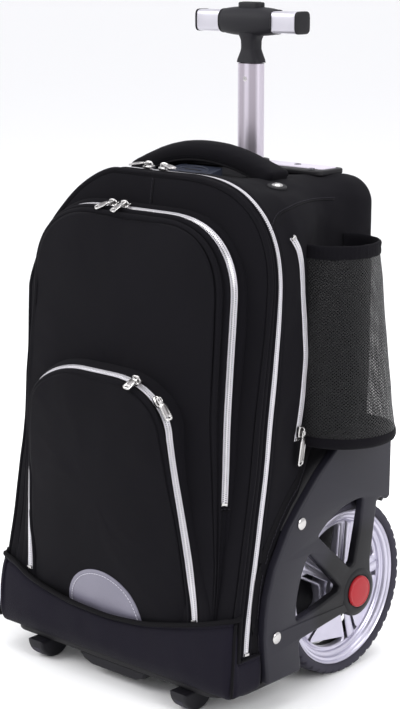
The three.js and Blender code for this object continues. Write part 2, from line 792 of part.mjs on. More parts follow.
const feetTop = plateTop - plateThick - gap;
const footShape = polygon(Array.from({ length: 9 }, (_, i) => {
  const turn = Math.PI + (Math.PI * i) / 8;
  return [-footAhead + feetTop * Math.cos(turn), feetTop + feetTop * Math.sin(turn)];
}));
const foot = acrossX(footShape, footAcross - footWidth / 2, footAcross + footWidth / 2, 1.5);
addPair("foot", foot, materials.rubber);
const skidShape = polygon([[-skidHalf, skidRise + 4], [-skidHalf + 10, skidRise], [skidHalf - 10, skidRise],
  [skidHalf, skidRise + 4], [skidHalf + 6, feetTop], [-skidHalf - 6, feetTop]]);
add("skid", acrossY(skidShape, -footAhead - skidDepth / 2, -footAhead + skidDepth / 2), materials.rubber);

// Bottle pockets of mesh, open at the top, with a hem round the mouth

function bottleRing(share, z, grow) {
  const reach = (bottleReach - 8 * share) + grow;
  const halfDepth = (bottleHalfDepth - 9 * share) + grow;
  const ring = [];
  const sides = 16;
  for (let i = 0; i < sides; i++) {
    const turn = (i / sides) * 2 * Math.PI;
    const [across, forward] = [reach * Math.cos(turn), halfDepth * Math.sin(turn)];
    ring.push(new THREE.Vector3(bottleX + across, -bottleAhead + forward, z));
  }
  return ring;
}

function bottleSolid(grow, from, to) {
  const height = bottleTop - bottleBottom;
  const levels = [0, 0.06, 0.4, 1];
  const rings = levels.map((level) => {
    const z = from + (to - from) * level;
    const share = (z - bottleBottom) / height;
    return bottleRing(share, z, grow - (level === 0 ? 5 : 0));
  });
  return solid(loft(rings));
}

const hemBottom = bottleTop - hemHeight;
const pocketCup = cut(bottleSolid(0, bottleBottom, hemBottom - gap),
  bottleSolid(-meshWall, bottleBottom + meshWall, hemBottom + 6));
addCutPair("bottle_pocket", pocketCup, [bodyClear], materials.mesh);

function hemSolid() {
  const outer = [bottleRing(0.94, hemBottom, 0.8), bottleRing(1, bottleTop, 0.8)];
  const inward = 0.8 - hemThick;
  const inner = [bottleRing(0.94, hemBottom - 4, inward), bottleRing(1, bottleTop + 4, inward)];
  return cut(solid(loft(outer)), solid(loft(inner)));
}
addCutPair("pocket_hem", hemSolid(), [bodyClear], materials.fabric);

// Side zip in front of each bottle pocket: rows of [distance ahead of the back, height]
const sideZipRoute = [[142, 433], [135, 419], [130, 405], [124, 358], [119.5, 317], [122, 290], [127, 261]];

// Where the body's side lies, at a distance ahead of the back and a height
function sideX(side, ahead, z) {
  const ray = solid(box(60, 0.6, 0.6, side * 140, -ahead, z));
  const beyond = ray.subtract(bodySolid(0)).getMesh();
  let inner = Infinity;
  for (let i = 0; i < beyond.numVert; i++) {
    inner = Math.min(inner, side * beyond.vertProperties[i * beyond.numProp]);
  }
  return side * inner;
}

function sideZipSolid(side) {
  const half = tapeWidth / 2 - 1;
  const fore = sideZipRoute.map(([ahead, z]) => new THREE.Vector3(0, -ahead - half, z));
  const hind = sideZipRoute.map(([ahead, z]) => new THREE.Vector3(0, -ahead + half, z));
  for (const p of [...fore, ...hind]) p.x = sideX(side, -p.y, p.z);
  if (side > 0) [fore, hind].forEach((edge) => edge.reverse());
  return largest(cut(strip(fore, hind, gap + tapeThick * 1.2, 3), bodyClear));
}
add("zip_side_right", geometryOf(sideZipSolid(1)), materials.zip);
add("zip_side_left", geometryOf(sideZipSolid(-1)), materials.zip);

// Zip sliders: a small body on the teeth and a pull that lies along the cloth

function sliderSolid(seat, out, along, pull, pullLength) {
  const across = new THREE.Vector3().crossVectors(out, along).normalize();
  const lengthwise = new THREE.Vector3().crossVectors(out, across).normalize();
  const frame = new THREE.Matrix4().makeBasis(across, lengthwise, out).setPosition(seat);
  const body = box(sliderWidth, sliderLength, sliderHeight, 0, 0, gap + sliderHeight / 2)
    .applyMatrix4(frame);
  const pullLengthwise = pull.clone().addScaledVector(out, -pull.dot(out)).normalize();
  const pullAcross = new THREE.Vector3().crossVectors(pullLengthwise, out).normalize();
  const pullFrame = new THREE.Matrix4().makeBasis(pullAcross, pullLengthwise, out).setPosition(seat);
  const height = gap + sliderHeight - 0.4;
  const ears = box(4, 5, 3.2, 0, 1, height + 1.6).applyMatrix4(pullFrame);
  const narrow = pullWidth / 2 - 1;
  const plate = acrossZ(polygon([[-narrow, 0], [narrow, 0], [pullWidth / 2, 3], [narrow, pullLength],
    [-narrow, pullLength], [-pullWidth / 2, 3]]), height + 1, height + 1 + pullThick);
  return join(solid(body), solid(ears), solid(plate.applyMatrix4(pullFrame)));
}

function stripPlace(fore, hind, x) {
  const middles = fore.map((p, i) => p.clone().add(hind[i]).multiplyScalar(0.5));
  for (let i = 1; i < middles.length; i++) {
    const [from, to] = [middles[i - 1], middles[i]];
    if ((from.x - x) * (to.x - x) <= 0) {
      const share = (from.x - x) / (from.x - to.x);
      const along = to.clone().sub(from).normalize();
      const across = hind[i].clone().sub(fore[i]).normalize();
      const out = new THREE.Vector3().crossVectors(across, along).normalize();
      return { seat: from.clone().lerp(to, share), out, along };
    }
  }
  throw new Error("no place on the zip at x = " + x);
}

const down = axisZ.clone().negate();
const mainZipEdges = [zipFront, zipRear];
const frontZipEdges = [frontZipFore, frontZipHind];
const lowerZipEdges = [lowerZipFore, lowerZipHind];

// Where the sliders stand across the bag, which way their pulls lie and how long these are
const sliders = [
  { name: "slider_main_a", edges: mainZipEdges, x: -11, pull: [-1, 0, 0], length: 24 },
  { name: "slider_main_b", edges: mainZipEdges, x: 9, pull: [1, 0, 0], length: 24 },
  { name: "slider_front_a", edges: frontZipEdges, x: -28, pull: [-1, 0, 0], length: 22 },
  { name: "slider_front_b", edges: frontZipEdges, x: -10, pull: [1, 0, 0], length: 22 },
  { name: "slider_lower_a", edges: lowerZipEdges, x: 44, pull: [-1, 0, -0.2], length: 24 },
  { name: "slider_lower_b", edges: lowerZipEdges, x: 74, pull: [1, 0, -1], length: 24 },
];
for (const { name, edges, x, pull, length } of sliders) {
  const { seat, out, along } = stripPlace(...edges, x);
  const slider = sliderSolid(seat, out, along, new THREE.Vector3(...pull), length);
  add(name, geometryOf(slider), materials.nickel);
}

const [sideEndAhead, sideEndZ] = sideZipRoute.at(-1);
const sideSeat = new THREE.Vector3(sideX(1, sideEndAhead, sideEndZ) + gap + tapeThick * 1.2, -sideEndAhead,
  sideEndZ + 8);
addPair("slider_side", geometryOf(sliderSolid(sideSeat, axisX, axisZ, down, 34)), materials.nickel);

// Pull handle: a fixed housing inside the back, two sliding tubes and the T grip

const plateLow = rearTop + gap;
add("handle_housing", tube(housingWidth, housingDepth, tubeWall, housingBottom, rearTop), materials.steel);
const outerTubeTop = plateLow + topPlateThick + 2;
const innerTubeTop = neckBottom - gap;
add("outer_tube", tube(outerTubeWidth, outerTubeDepth, tubeWall, outerTubeBottom, outerTubeTop),
  materials.tube);
add("inner_tube", tube(poleWidth, poleDepth, tubeWall, innerTubeTop - innerTubeLength, innerTubeTop),
  materials.tube);

const topPlateShape = roundedBox(2 * topPlateHalf, topPlateDepth, 8, 0, -(topPlateDepth / 2 + 5));
topPlateShape.holes.push(oval(outerTubeWidth + 2 * slideGap, outerTubeDepth + 2 * slideGap, 0, -poleAhead));
add("top_plate", acrossZ(topPlateShape, plateLow, plateLow + topPlateThick), materials.tube);

// Neck of the grip: rows of [height share, half width, half depth]
const neckSections = [
  { up: 0, wide: 15.7, deep: 12 },
  { up: 0.42, wide: 11.6, deep: 9.6 },
  { up: 0.62, wide: 12.6, deep: 10 },
  { up: 0.8, wide: 16.5, deep: 11.4 },
  { up: 1, wide: 23, deep: 12.4 },
];
// Barrel of the grip: rows of [share of its half length, share of its radius]
const barrelSections = [[-1, 0.93], [-0.85, 0.97], [0, 1], [0.85, 0.97], [1, 0.93]];

function ellipseRing(sides, place) {
  const ring = [];
  for (let i = 0; i < sides; i++) {
    const turn = (i / sides) * 2 * Math.PI;
    ring.push(place(Math.cos(turn), Math.sin(turn)));
  }
  return ring;
}

function gripSolid() {
  const neckRings = neckSections.map(({ up, wide, deep }) => ellipseRing(12, (c, s) =>
    new THREE.Vector3(wide * c, -poleAhead + deep * s, neckBottom + (gripHeight - neckBottom - 4) * up)));
  const barrelRings = barrelSections.map(([along, share]) => ellipseRing(14, (c, s) => new THREE.Vector3(
    gripHalf * along, -poleAhead + gripRadius * share * c, gripHeight + gripRadius * share * s)));
  const socket = acrossX(sleeveShape(2 * gap), gripHalf - sleeveSocket, gripHalf + 10);
  const well = acrossZ(roundedBox(buttonLength + 2 * gap, buttonWidth + 2 * gap, 6, 0, -poleAhead),
    buttonBottom - buttonTravel - 0.5, gripHeight + 40);
  return cut(join(solid(loft(neckRings)), solid(loft(barrelRings))), solid(socket), solid(mirrored(socket)),
    solid(well));
}

function sleeveShape(grow) {
  return roundedBox(sleeveHeight + grow, sleeveHeight + grow, 6, -poleAhead, gripHeight);
}

const buttonTop = gripHeight + gripRadius + 4.8;
const buttonBottom = buttonTop - buttonHeight;
add("grip", geometryOf(gripSolid()), materials.rubber);
const buttonShape = roundedBox(buttonLength, buttonWidth, 6, 0, -poleAhead);
add("release_button", acrossZ(buttonShape, buttonBottom, buttonTop, 1.2), materials.rubber);
const sleeveStart = gripHalf - sleeveSocket + gap;
addPair("grip_sleeve", acrossX(sleeveShape(0), sleeveStart, sleeveEnd), materials.tube);
const endCap = acrossX(sleeveShape(-0.6), sleeveEnd + gap, sleeveEnd + gap + endCapThick, 0.8);
addPair("grip_end", endCap, materials.rubber);

// Grab handle: a padded roll over the top whose ends are sewn to the shoulders of the bag

function grabSolid() {
  const rings = [];
  const steps = 12;
  for (let i = 0; i <= steps; i++) {
    const share = (i / steps) * 2 - 1;
    const slope = Math.abs(share) ** 2.4;
    const thick = grabThick / 2 - (Math.abs(share) > 0.99 ? 3 : 0);
    const z = grabTop - grabThick / 2 - grabSag * slope;
    const lean = Math.sign(share) * slope * 0.4;
    rings.push(ellipseRing(10, (c, s) => new THREE.Vector3(
      grabHalf * share + thick * s * lean, -grabAhead + (grabWide / 2) * c, z + thick * s)));
  }
  return cut(solid(loft(rings)), bodyClear);
}
add("grab_handle", geometryOf(grabSolid()), materials.fabric);

function onTop(x, ahead) {
  const ray = solid(box(0.6, 0.6, 80, x, -ahead, rearTop + 10));
  const beyond = ray.subtract(bodySolid(0)).getMesh();
  let lowest = Infinity;
  for (let i = 0; i < beyond.numVert; i++) {
    lowest = Math.min(lowest, beyond.vertProperties[i * beyond.numProp + 2]);
  }
  return lowest;
}

// Washers at the ends of the grab handle, each leaning with the shoulder that it sits on
const grabRivetAhead = 108;
const grabRivetProfile = [[0, 0], [8, 0], [8, 1.2], [5.5, 1.2], [5, 3], [2.5, 3.8], [0, 4]];

function grabRivetSolid(side) {
  const x = side * (grabHalf + 9);
  const seat = onTop(x, grabRivetAhead);
  const slope = (onTop(x - side * 6, grabRivetAhead) - onTop(x + side * 6, grabRivetAhead)) / 12;
  const rivet = new THREE.LatheGeometry(
    grabRivetProfile.map(([radius, height]) => new THREE.Vector2(radius, height)), 10);
  rivet.rotateX(Math.PI / 2).rotateY(side * Math.atan(slope)).translate(x, -grabRivetAhead, seat + 0.2);
  return largest(cut(solid(rivet), bodyClear));
}
add("grab_rivet_right", geometryOf(grabRivetSolid(1)), materials.nickel);
add("grab_rivet_left", geometryOf(grabRivetSolid(-1)), materials.nickel);

// Moulded patch behind the arch of the main zip
const patchShape = roundedBox(54, 28, 10, 6, -110);
const patchUnder = onTop(6, 110);
const patchBody = cut(solid(acrossZ(patchShape, patchUnder - 2, patchUnder + gap + 2.6, 0.8)), bodyClear);
add("cable_patch", geometryOf(patchBody), materials.rubber);

// Back: pad with a flat face, two shoulder straps and the webbing under them

const padWaist = 236;
const padTopZ = rearTop - 26;
const padShape = polygon([[-92, 52], [92, 52], [96, 60], [96, padWaist - 18], [100, padWaist - 6],
  [112, padWaist], [124, padWaist + 6], [127, padWaist + 18], [127, padTopZ - 34], [120, padTopZ - 14],
  [100, padTopZ], [-100, padTopZ], [-120, padTopZ - 14], [-127, padTopZ - 34], [-127, padWaist + 18],
  [-124, padWaist + 6], [-112, padWaist], [-100, padWaist - 6], [-96, padWaist - 18], [-96, 60]]);
add("back_pad", acrossY(padShape, gap, gap + padThick, 3), materials.fabric);

// Route of a shoulder strap down the back: rows of [across, height]
const strapRoute = [[42, 438], [46, 400], [56, 350], [68, 300], [76, 250], [78, 205]];
function strapSolid(route, width, thick, from) {
  const rings = route.map(([x, z], i) => {
    const [beforeX, beforeZ] = route[Math.max(i - 1, 0)];
    const [afterX, afterZ] = route[Math.min(i + 1, route.length - 1)];
    const along = new THREE.Vector2(afterX - beforeX, afterZ - beforeZ).normalize();
    const crown = Math.min(thick * 0.3, 3);
    const section = [[-1, 0], [-1, thick - crown], [-0.8, thick], [0.8, thick], [1, thick - crown], [1, 0]];
    return section.map(([side, out]) => new THREE.Vector3(
      x - (along.y * side * width) / 2, from + out, z + (along.x * side * width) / 2));
  });
  return loft(rings);
}
const strapBack = gap + padThick + gap;
addPair("shoulder_strap", strapSolid(strapRoute, strapWidth, strapThick, strapBack), materials.fabric);
const webRoute = [[78, 203.5], [79, 150], [80, 100], [80, 66]];
addPair("strap_webbing", strapSolid(webRoute, webWidth, webThick, strapBack), materials.fabric);

// The origin lies on the floor under the middle of the whole
const extent = new THREE.Box3().setFromObject(backpack);
backpack.position.y = -(extent.min.y + extent.max.y) / 2;
backpack.position.z = -extent.min.z;

const root = new THREE.Group();
root.add(backpack);

export default root;
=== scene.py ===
import math

import bmesh
import bpy
from mathutils import Matrix, Vector, noise
from mathutils.bvhtree import BVHTree


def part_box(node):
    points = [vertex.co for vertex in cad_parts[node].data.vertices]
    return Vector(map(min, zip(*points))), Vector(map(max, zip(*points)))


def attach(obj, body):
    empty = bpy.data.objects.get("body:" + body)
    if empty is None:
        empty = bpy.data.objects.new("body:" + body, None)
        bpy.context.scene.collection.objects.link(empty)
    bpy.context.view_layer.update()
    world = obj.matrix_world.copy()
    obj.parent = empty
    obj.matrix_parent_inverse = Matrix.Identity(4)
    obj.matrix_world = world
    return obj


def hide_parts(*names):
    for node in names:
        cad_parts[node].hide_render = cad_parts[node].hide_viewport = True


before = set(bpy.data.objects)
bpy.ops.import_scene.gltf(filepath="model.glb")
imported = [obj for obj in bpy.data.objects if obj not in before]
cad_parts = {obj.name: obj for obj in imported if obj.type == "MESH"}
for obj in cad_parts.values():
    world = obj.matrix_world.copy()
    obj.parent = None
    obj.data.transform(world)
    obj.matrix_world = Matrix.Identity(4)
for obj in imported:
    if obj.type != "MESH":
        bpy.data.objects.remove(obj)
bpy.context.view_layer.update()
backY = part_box("main_shell")[1].y  # the plane of the bag's back; depths below count forward from it

# Camera at the photo's angle: metres and degrees
photoView = {"lens": 92.096, "place": (1.14618, backY - 1.34725, 0.68084), "down": 12.73, "turn": 42.44}
shot = bpy.data.cameras.new("photoCamera")
shot.lens = photoView["lens"]
shot.sensor_width = 36
shot.clip_start = 0.05
shotHolder = bpy.data.objects.new("photoCamera", shot)
shotHolder.location = photoView["place"]
shotHolder.rotation_euler = (math.radians(90 - photoView["down"]), 0, math.radians(photoView["turn"]))
bpy.context.collection.objects.link(shotHolder)
bpy.context.scene.camera = shotHolder
bpy.context.scene.view_settings.view_transform = "Standard"
print("camera set")


# Shader maths: a value is a socket of a finish, and sums, products and so on add Math nodes
class Value:
    def __init__(self, finish, socket):
        self.finish = finish
        self.socket = socket

    def math(self, operation, *inputs):
        return self.finish.node("ShaderNodeMath", {"operation": operation}, dict(enumerate(inputs)))

    def __add__(self, other):
        return self.math("ADD", self, other)

    __radd__ = __add__

    def __sub__(self, other):
        return self.math("SUBTRACT", self, other)

    def __rsub__(self, other):
        return self.math("SUBTRACT", other, self)

    def __mul__(self, other):
        return self.math("MULTIPLY", self, other)

    __rmul__ = __mul__

    def __gt__(self, other):
        return self.math("GREATER_THAN", self, other)

    def sine(self):
        return self.math("SINE", self)

    def size(self):
        return self.math("ABSOLUTE", self)

    def clamped(self, low, high):
        return self.finish.node("ShaderNodeClamp", {}, {"Value": self, "Min": low, "Max": high})


class Finish:
    def __init__(self, name, **constants):
        self.material = bpy.data.materials.new(name)
        self.material.use_nodes = True
        self.tree = self.material.node_tree
        self.shader = self.tree.nodes["Principled BSDF"]
        for socket, value in constants.items():
            self.shader.inputs[socket.replace("_", " ")].default_value = value

    def node(self, kind, settings, sockets, output=0):
        made = self.tree.nodes.new(kind)
        for setting, value in settings.items():
            setattr(made, setting, value)
        for socket, value in sockets.items():
            if isinstance(value, Value):
                self.tree.links.new(value.socket, made.inputs[socket])
            else:
                made.inputs[socket].default_value = value
        return Value(self, made.outputs[output])

    def feed(self, socket, value):
        self.tree.links.new(value.socket, self.shader.inputs[socket])

    def place(self, kind="Object"):
        return self.node("ShaderNodeTexCoord", {}, {}, kind)

    def axes(self, kind="Object"):
        split = self.node("ShaderNodeSeparateXYZ", {}, {0: self.place(kind)})
        return [Value(self, output) for output in split.socket.node.outputs]

    def grain(self, scale, detail=2.0, rough=0.5):
        return self.node("ShaderNodeTexNoise", {}, {"Vector": self.place(), "Scale": scale,
            "Detail": detail, "Roughness": rough})

    def blend(self, factor, first, second):
        return self.node("ShaderNodeMix", {"data_type": "RGBA"},
            {"Factor": factor, 6: (*first, 1) if isinstance(first, tuple) else first,
            7: (*second, 1) if isinstance(second, tuple) else second}, 2)

    def relief(self, height, strength, distance):
        bump = self.node("ShaderNodeBump", {}, {"Height": height, "Strength": strength,
            "Distance": distance})
        self.feed("Normal", bump)


def linear(red, green, blue):  # a colour as seen, 0 to 255, to the light it sends back
    return tuple(((c / 255 + 0.055) / 1.055) ** 2.4 if c > 10 else c / 3294.6 for c in (red, green, blue))


# Woven polyester: threads cross at a slant on every side of the bag, with soft cloudy wear
def wovenCloth(name, colour, threads, relief, rough, sheen):
    cloth = Finish(name, Sheen_Weight=sheen, Sheen_Roughness=0.45, Specular_IOR_Level=0.07)
    x, y, z = cloth.axes()
    pitch = 2 * math.pi / threads
    warp = ((x + y) * pitch + (z * pitch * 0.12)).sine()
    weft = (z * pitch).sine()
    twill = ((x + y + z) * pitch * 0.7).sine()
    weave = warp * weft * 0.6 + twill * 0.4
    cloud = cloth.grain(18.0, 3.0)
    fuzz = cloth.grain(900.0, 1.0)
    shade = (cloud - 0.5) * 0.7 + (fuzz - 0.5) * 0.9 + weave * 0.16 + 0.5
    dark = tuple(c * 0.72 for c in colour)
    light = tuple(c * 1.32 for c in colour)
    cloth.feed("Base Color", cloth.blend(shade.clamped(0.0, 1.0), dark, light))
    cloth.feed("Roughness", (cloud * 0.12 + (rough - 0.06)).clamped(0.3, 1.0))
    cloth.relief(weave * 0.5 + fuzz * 0.8, relief, 0.0004)
    return cloth.material


clothLook = {"body": linear(15, 14, 18), "base": linear(20, 18, 27), "thread": 0.00075}
bodyCloth = wovenCloth("body polyester", clothLook["body"], clothLook["thread"], 0.6, 0.86, 0.014)
baseCloth = wovenCloth("base panel cloth", clothLook["base"], 0.0011, 0.55, 0.72, 0.022)
pipingCloth = wovenCloth("piping", linear(12, 11, 14), 0.0006, 0.4, 0.7, 0.014)


def ribbedCloth(name, colour, pitch, rough):  # webbing and zip tape, ribbed along their length
    cloth = Finish(name, Sheen_Weight=0.04, Specular_IOR_Level=0.15)
    x, y, z = cloth.axes()
    ribs = (z * (2 * math.pi / pitch)).sine() * ((x + y) * (2 * math.pi / pitch)).sine()
    fuzz = cloth.grain(1200.0, 1.0)
    shade = (ribs * 0.3 + (fuzz - 0.5) * 0.8 + 0.5).clamped(0.0, 1.0)
    cloth.feed("Base Color", cloth.blend(shade, tuple(c * 0.7 for c in colour),
        tuple(c * 1.4 for c in colour)))
    cloth.feed("Roughness", (fuzz * 0.15 + rough).clamped(0.2, 1.0))
    cloth.relief(ribs, 0.6, 0.0003)
    return cloth.material


zipTape = ribbedCloth("zip tape", linear(13, 12, 15), 0.0009, 0.75)
zipStripe = ribbedCloth("zip stripe", linear(196, 194, 200), 0.0009, 0.5)
webbingCloth = ribbedCloth("webbing", linear(20, 19, 22), 0.0016, 0.7)


def metal(name, colour, rough, blotch=0.06, metallic=1.0, brushed=None):
    made = Finish(name, Metallic=metallic)
    cloud = made.grain(60.0, 3.0)
    fine = made.grain(1400.0, 1.0)
    if brushed:
        stretched = made.node("ShaderNodeMapping", {}, {"Vector": made.place(), "Scale": brushed})
        fine = made.node("ShaderNodeTexNoise", {}, {"Vector": stretched, "Scale": 1.0, "Detail": 2.0})
    made.feed("Base Color", made.blend(cloud, tuple(c * 0.93 for c in colour),
        tuple(min(c * 1.05, 1) for c in colour)))
    made.feed("Roughness", (rough + (cloud - 0.5) * blotch + (fine - 0.5) * blotch).clamped(0.05, 1.0))
    made.relief(fine, 0.05, 0.0001)
    return made.material


zipSilver = metal("zip teeth", linear(214, 212, 216), 0.3, metallic=0.7)
nickel = metal("bright nickel", linear(190, 188, 187), 0.2)
sleeveMetal = metal("satin sleeves", linear(188, 186, 194), 0.42, metallic=0.8,
    brushed=(30.0, 3000.0, 3000.0))
rimPaint = metal("wheel silver", linear(196, 193, 208), 0.3, metallic=0.75)
darkSteel = metal("dark steel", linear(96, 94, 102), 0.4)


def moulded(name, colour, rough, pebble, relief, spread=0.14):
    made = Finish(name, Specular_IOR_Level=0.26)
    cloud = made.grain(25.0, 3.0)
    grain = made.grain(pebble, 2.0)
    shade = ((cloud - 0.5) * 1.1 + (grain - 0.5) * 0.5 + 0.5).clamped(0.0, 1.0)
    made.feed("Base Color", made.blend(shade, tuple(c * (1 - spread) for c in colour),
        tuple(c * (1 + spread) for c in colour)))
    made.feed("Roughness", (rough + (cloud - 0.5) * 0.12 + (grain - 0.5) * 0.1).clamped(0.1, 1.0))
    made.relief(grain, relief, 0.0002)
    return made.material


def guardMould(hub):  # the guard's arms round the hub are darker than its rim
    made = Finish("guard plastic", Specular_IOR_Level=0.22)
    _, y, z = made.axes()
    cloud = made.grain(25.0, 3.0)
    grain = made.grain(2600.0, 2.0)
    across = y - hub[0]
    up = z - hub[1]
    near = ((0.0052 - (across * across + up * up)) * 500).clamped(0.0, 1.0)
    shade = ((cloud - 0.5) * 0.8 + (grain - 0.5) * 0.5 + 0.5).clamped(0.0, 1.0)
    rim = made.blend(shade, linear(24, 23, 30), linear(32, 31, 40))
    arms = made.blend(shade, linear(10, 10, 13), linear(15, 14, 18))
    made.feed("Base Color", made.blend(near, rim, arms))
    made.feed("Roughness", (cloud * 0.12 + 0.4).clamped(0.1, 1.0))
    made.relief(grain, 0.25, 0.0002)
    return made.material


guardPlastic = guardMould((backY - 0.0483, 0.085))
housingPlastic = moulded("housing plastic", linear(16, 15, 19), 0.55, 2000.0, 0.25)
gripRubber = moulded("grip rubber", linear(17, 16, 22), 0.58, 2200.0, 0.2)
tyreRubber = moulded("tyre rubber", linear(46, 44, 54), 0.72, 1500.0, 0.4)
capPlastic = moulded("red cap", linear(150, 26, 34), 0.36, 900.0, 0.06)
patchRubber = moulded("patch rubber", linear(38, 42, 54), 0.5, 1800.0, 0.2)


def reflectiveTape():
    made = Finish("reflective tape", Specular_IOR_Level=0.6)
    beads = made.node("ShaderNodeTexVoronoi", {}, {"Vector": made.place(), "Scale": 1500.0})
    cloud = made.grain(30.0, 2.0)
    shade = (beads * 0.5 + (cloud - 0.5) * 0.5 + 0.25).clamped(0.0, 1.0)
    made.feed("Base Color", made.blend(shade, linear(118, 115, 130), linear(98, 96, 110)))
    made.feed("Roughness", (cloud * 0.2 + 0.32).clamped(0.2, 1.0))
    made.relief(beads, 0.15, 0.0001)
    return made.material


reflectorTape = reflectiveTape()
print("finishes made")


# Shapes are worked out in millimetres: x across, y = -depth ahead of the back, z up
def toFrame(p):
    return Vector((p.x / 1000, backY + p.y / 1000, p.z / 1000))


def toBag(co):  # a point of a mesh, back in millimetres from the bag's back
    return Vector((co.x * 1000, (co.y - backY) * 1000, co.z * 1000))


def within(value, low=0, high=1):
    return min(max(value, low), high)


def curveThrough(rows):  # a smooth function through rows of (place, value), without overshoot
    places = [row[0] for row in rows]
    values = [row[1] for row in rows]
    rises = [(values[i + 1] - values[i]) / (places[i + 1] - places[i]) for i in range(len(rows) - 1)]
    slopes = [rises[0]]
    for before, after in zip(rises, rises[1:]):
        slopes.append(2 * before * after / (before + after) if before * after > 0 else 0)
    slopes.append(rises[-1])

    def at(place):
        if place <= places[0]:
            return values[0]
        if place >= places[-1]:
            return values[-1]
        i = max(k for k in range(len(places) - 1) if places[k] <= place)
        span = places[i + 1] - places[i]
        t = (place - places[i]) / span
        return (values[i] * (1 + 2 * t) * (1 - t) ** 2 + slopes[i] * span * t * (1 - t) ** 2
            + values[i + 1] * t * t * (3 - 2 * t) + slopes[i + 1] * span * t * t * (t - 1))

    return at


def mix(first, second, share):
    return first + (second - first) * share


def evenly(points, steps):  # points of a line, resampled evenly along it
    lengths = [0]
    for before, after in zip(points, points[1:]):
        lengths.append(lengths[-1] + (after - before).length)
    made = []
    k = 0
    for i in range(steps + 1):
        along = lengths[-1] * i / steps
        while k < len(points) - 2 and lengths[k + 1] < along:
            k += 1
        share = (along - lengths[k]) / max(lengths[k + 1] - lengths[k], 1e-9)
        made.append(points[k].lerp(points[k + 1], min(share, 1)))
    return made


def smoothLine(points, step):  # a Catmull-Rom line through points, at about that step
    dense = []
    ends = [points[0] * 2 - points[1], *points, points[-1] * 2 - points[-2]]
    for i in range(1, len(ends) - 2):
        a, b, c, d = ends[i - 1:i + 3]
        for k in range(12):
            t = k / 12
            dense.append((b * 2 + (c - a) * t + (a * 2 - b * 5 + c * 4 - d) * t * t
                + (b * 3 - a - c * 3 + d) * t ** 3) / 2)
    dense.append(points[-1])
    total = sum((q - p).length for p, q in zip(dense, dense[1:]))
    return evenly(dense, max(int(total / step), 2))


def meshPiece(name, points, faces, material, sharp=None):
    mesh = bpy.data.meshes.new(name)
    mesh.from_pydata([toFrame(p) for p in points], [], faces)
    mesh.materials.append(material)
    mesh.polygons.foreach_set("use_smooth", [True] * len(mesh.polygons))
    shape = bmesh.new()
    shape.from_mesh(mesh)
    bmesh.ops.remove_doubles(shape, verts=shape.verts, dist=1e-6)
    bmesh.ops.recalc_face_normals(shape, faces=shape.faces)
    shape.to_mesh(mesh)
    shape.free()
    if sharp:
        mesh.set_sharp_from_angle(angle=math.radians(sharp))
    piece = bpy.data.objects.new(name, mesh)
    bpy.context.collection.objects.link(piece)
    return piece


def gridFaces(rows, across, closed):
    faces = []
    for r in range(rows - 1):
        for c in range(across if closed else across - 1):
            d = (c + 1) % across
            faces.append((r * across + c, r * across + d, (r + 1) * across + d, (r + 1) * across + c))
    return faces


def gridPiece(name, rows, material, closed=True, caps=(False, False), sharp=None):
    across = len(rows[0])
    points = [p for row in rows for p in row]
    faces = gridFaces(len(rows), across, closed)
    for cap, row, start in ((caps[0], rows[0], 0), (caps[1], rows[-1], (len(rows) - 1) * across)):
        if cap:
            points.append(sum(row, Vector()) / across)
            tip = len(points) - 1
            faces += [(start + c, start + (c + 1) % across, tip) for c in range(across)]
    return meshPiece(name, points, faces, material, sharp)


def finish(piece, node=None, slot="fabric", body="bag"):  # node is the CAD piece that it stands for
    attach(piece, body)
    if node:
        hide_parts(node)
    return piece


def paintNode(node, material):  # a CAD piece whose shape is right only gets a finish
    slots = bpy.data.objects[node].data.materials
    slots.clear()
    slots.append(material)


def applied(piece):  # works a piece's modifiers into its mesh
    baked = bpy.data.meshes.new_from_object(piece.evaluated_get(bpy.context.evaluated_depsgraph_get()))
    piece.modifiers.clear()
    piece.data = baked
    return piece


def thicken(piece, amount):  # in mm, away from the outer side
    shell = piece.modifiers.new("thickness", "SOLIDIFY")
    shell.thickness = amount / 1000
    shell.offset = -1
    return applied(piece)


def ruffle(piece, layers, keep=None):
    # moves each point along its normal by layers of (height in mm, size in mm, seed)
    mesh = piece.data
    normals = [v.normal.copy() for v in mesh.vertices]
    for v, normal in zip(mesh.vertices, normals):
        p = v.co * 1000
        share = keep(p) if keep else 1
        if share > 0:
            move = sum(high * noise.noise(p / size + Vector((seed * 7.3, seed * 3.1, seed * 5.7)))
                for high, size, seed in layers)
            v.co += normal * (move * share / 1000)


def sweepPath(name, path, section, material, up=None, taper=None, sharp=None, closed=False):
    # section is points (side, out) in mm; up gives the out direction at a place of the path
    rows = []
    count = len(path)
    before = None
    for i, p in enumerate(path):
        a = path[(i - 1) % count] if closed else path[max(i - 1, 0)]
        b = path[(i + 1) % count] if closed else path[min(i + 1, count - 1)]
        along = (b - a).normalized()
        if up:
            out = up[i] if isinstance(up, list) else up
        elif before is None:
            out = Vector((0, 0, 1)) if abs(along.z) < 0.9 else Vector((0, -1, 0))
        else:
            out = before
        side = along.cross(out).normalized()
        out = side.cross(along).normalized()
        before = out
        size = taper(i / (count - 1)) if taper else 1
        rows.append([p + side * (s * size) + out * (o * size) for s, o in section])
    if closed:
        rows.append(rows[0])
    return gridPiece(name, rows, material, caps=(not closed, not closed), sharp=sharp)


def ovalSection(wide, high, steps):
    return [(wide / 2 * math.cos(2 * math.pi * k / steps), high / 2 * math.sin(2 * math.pi * k / steps))
        for k in range(steps)]


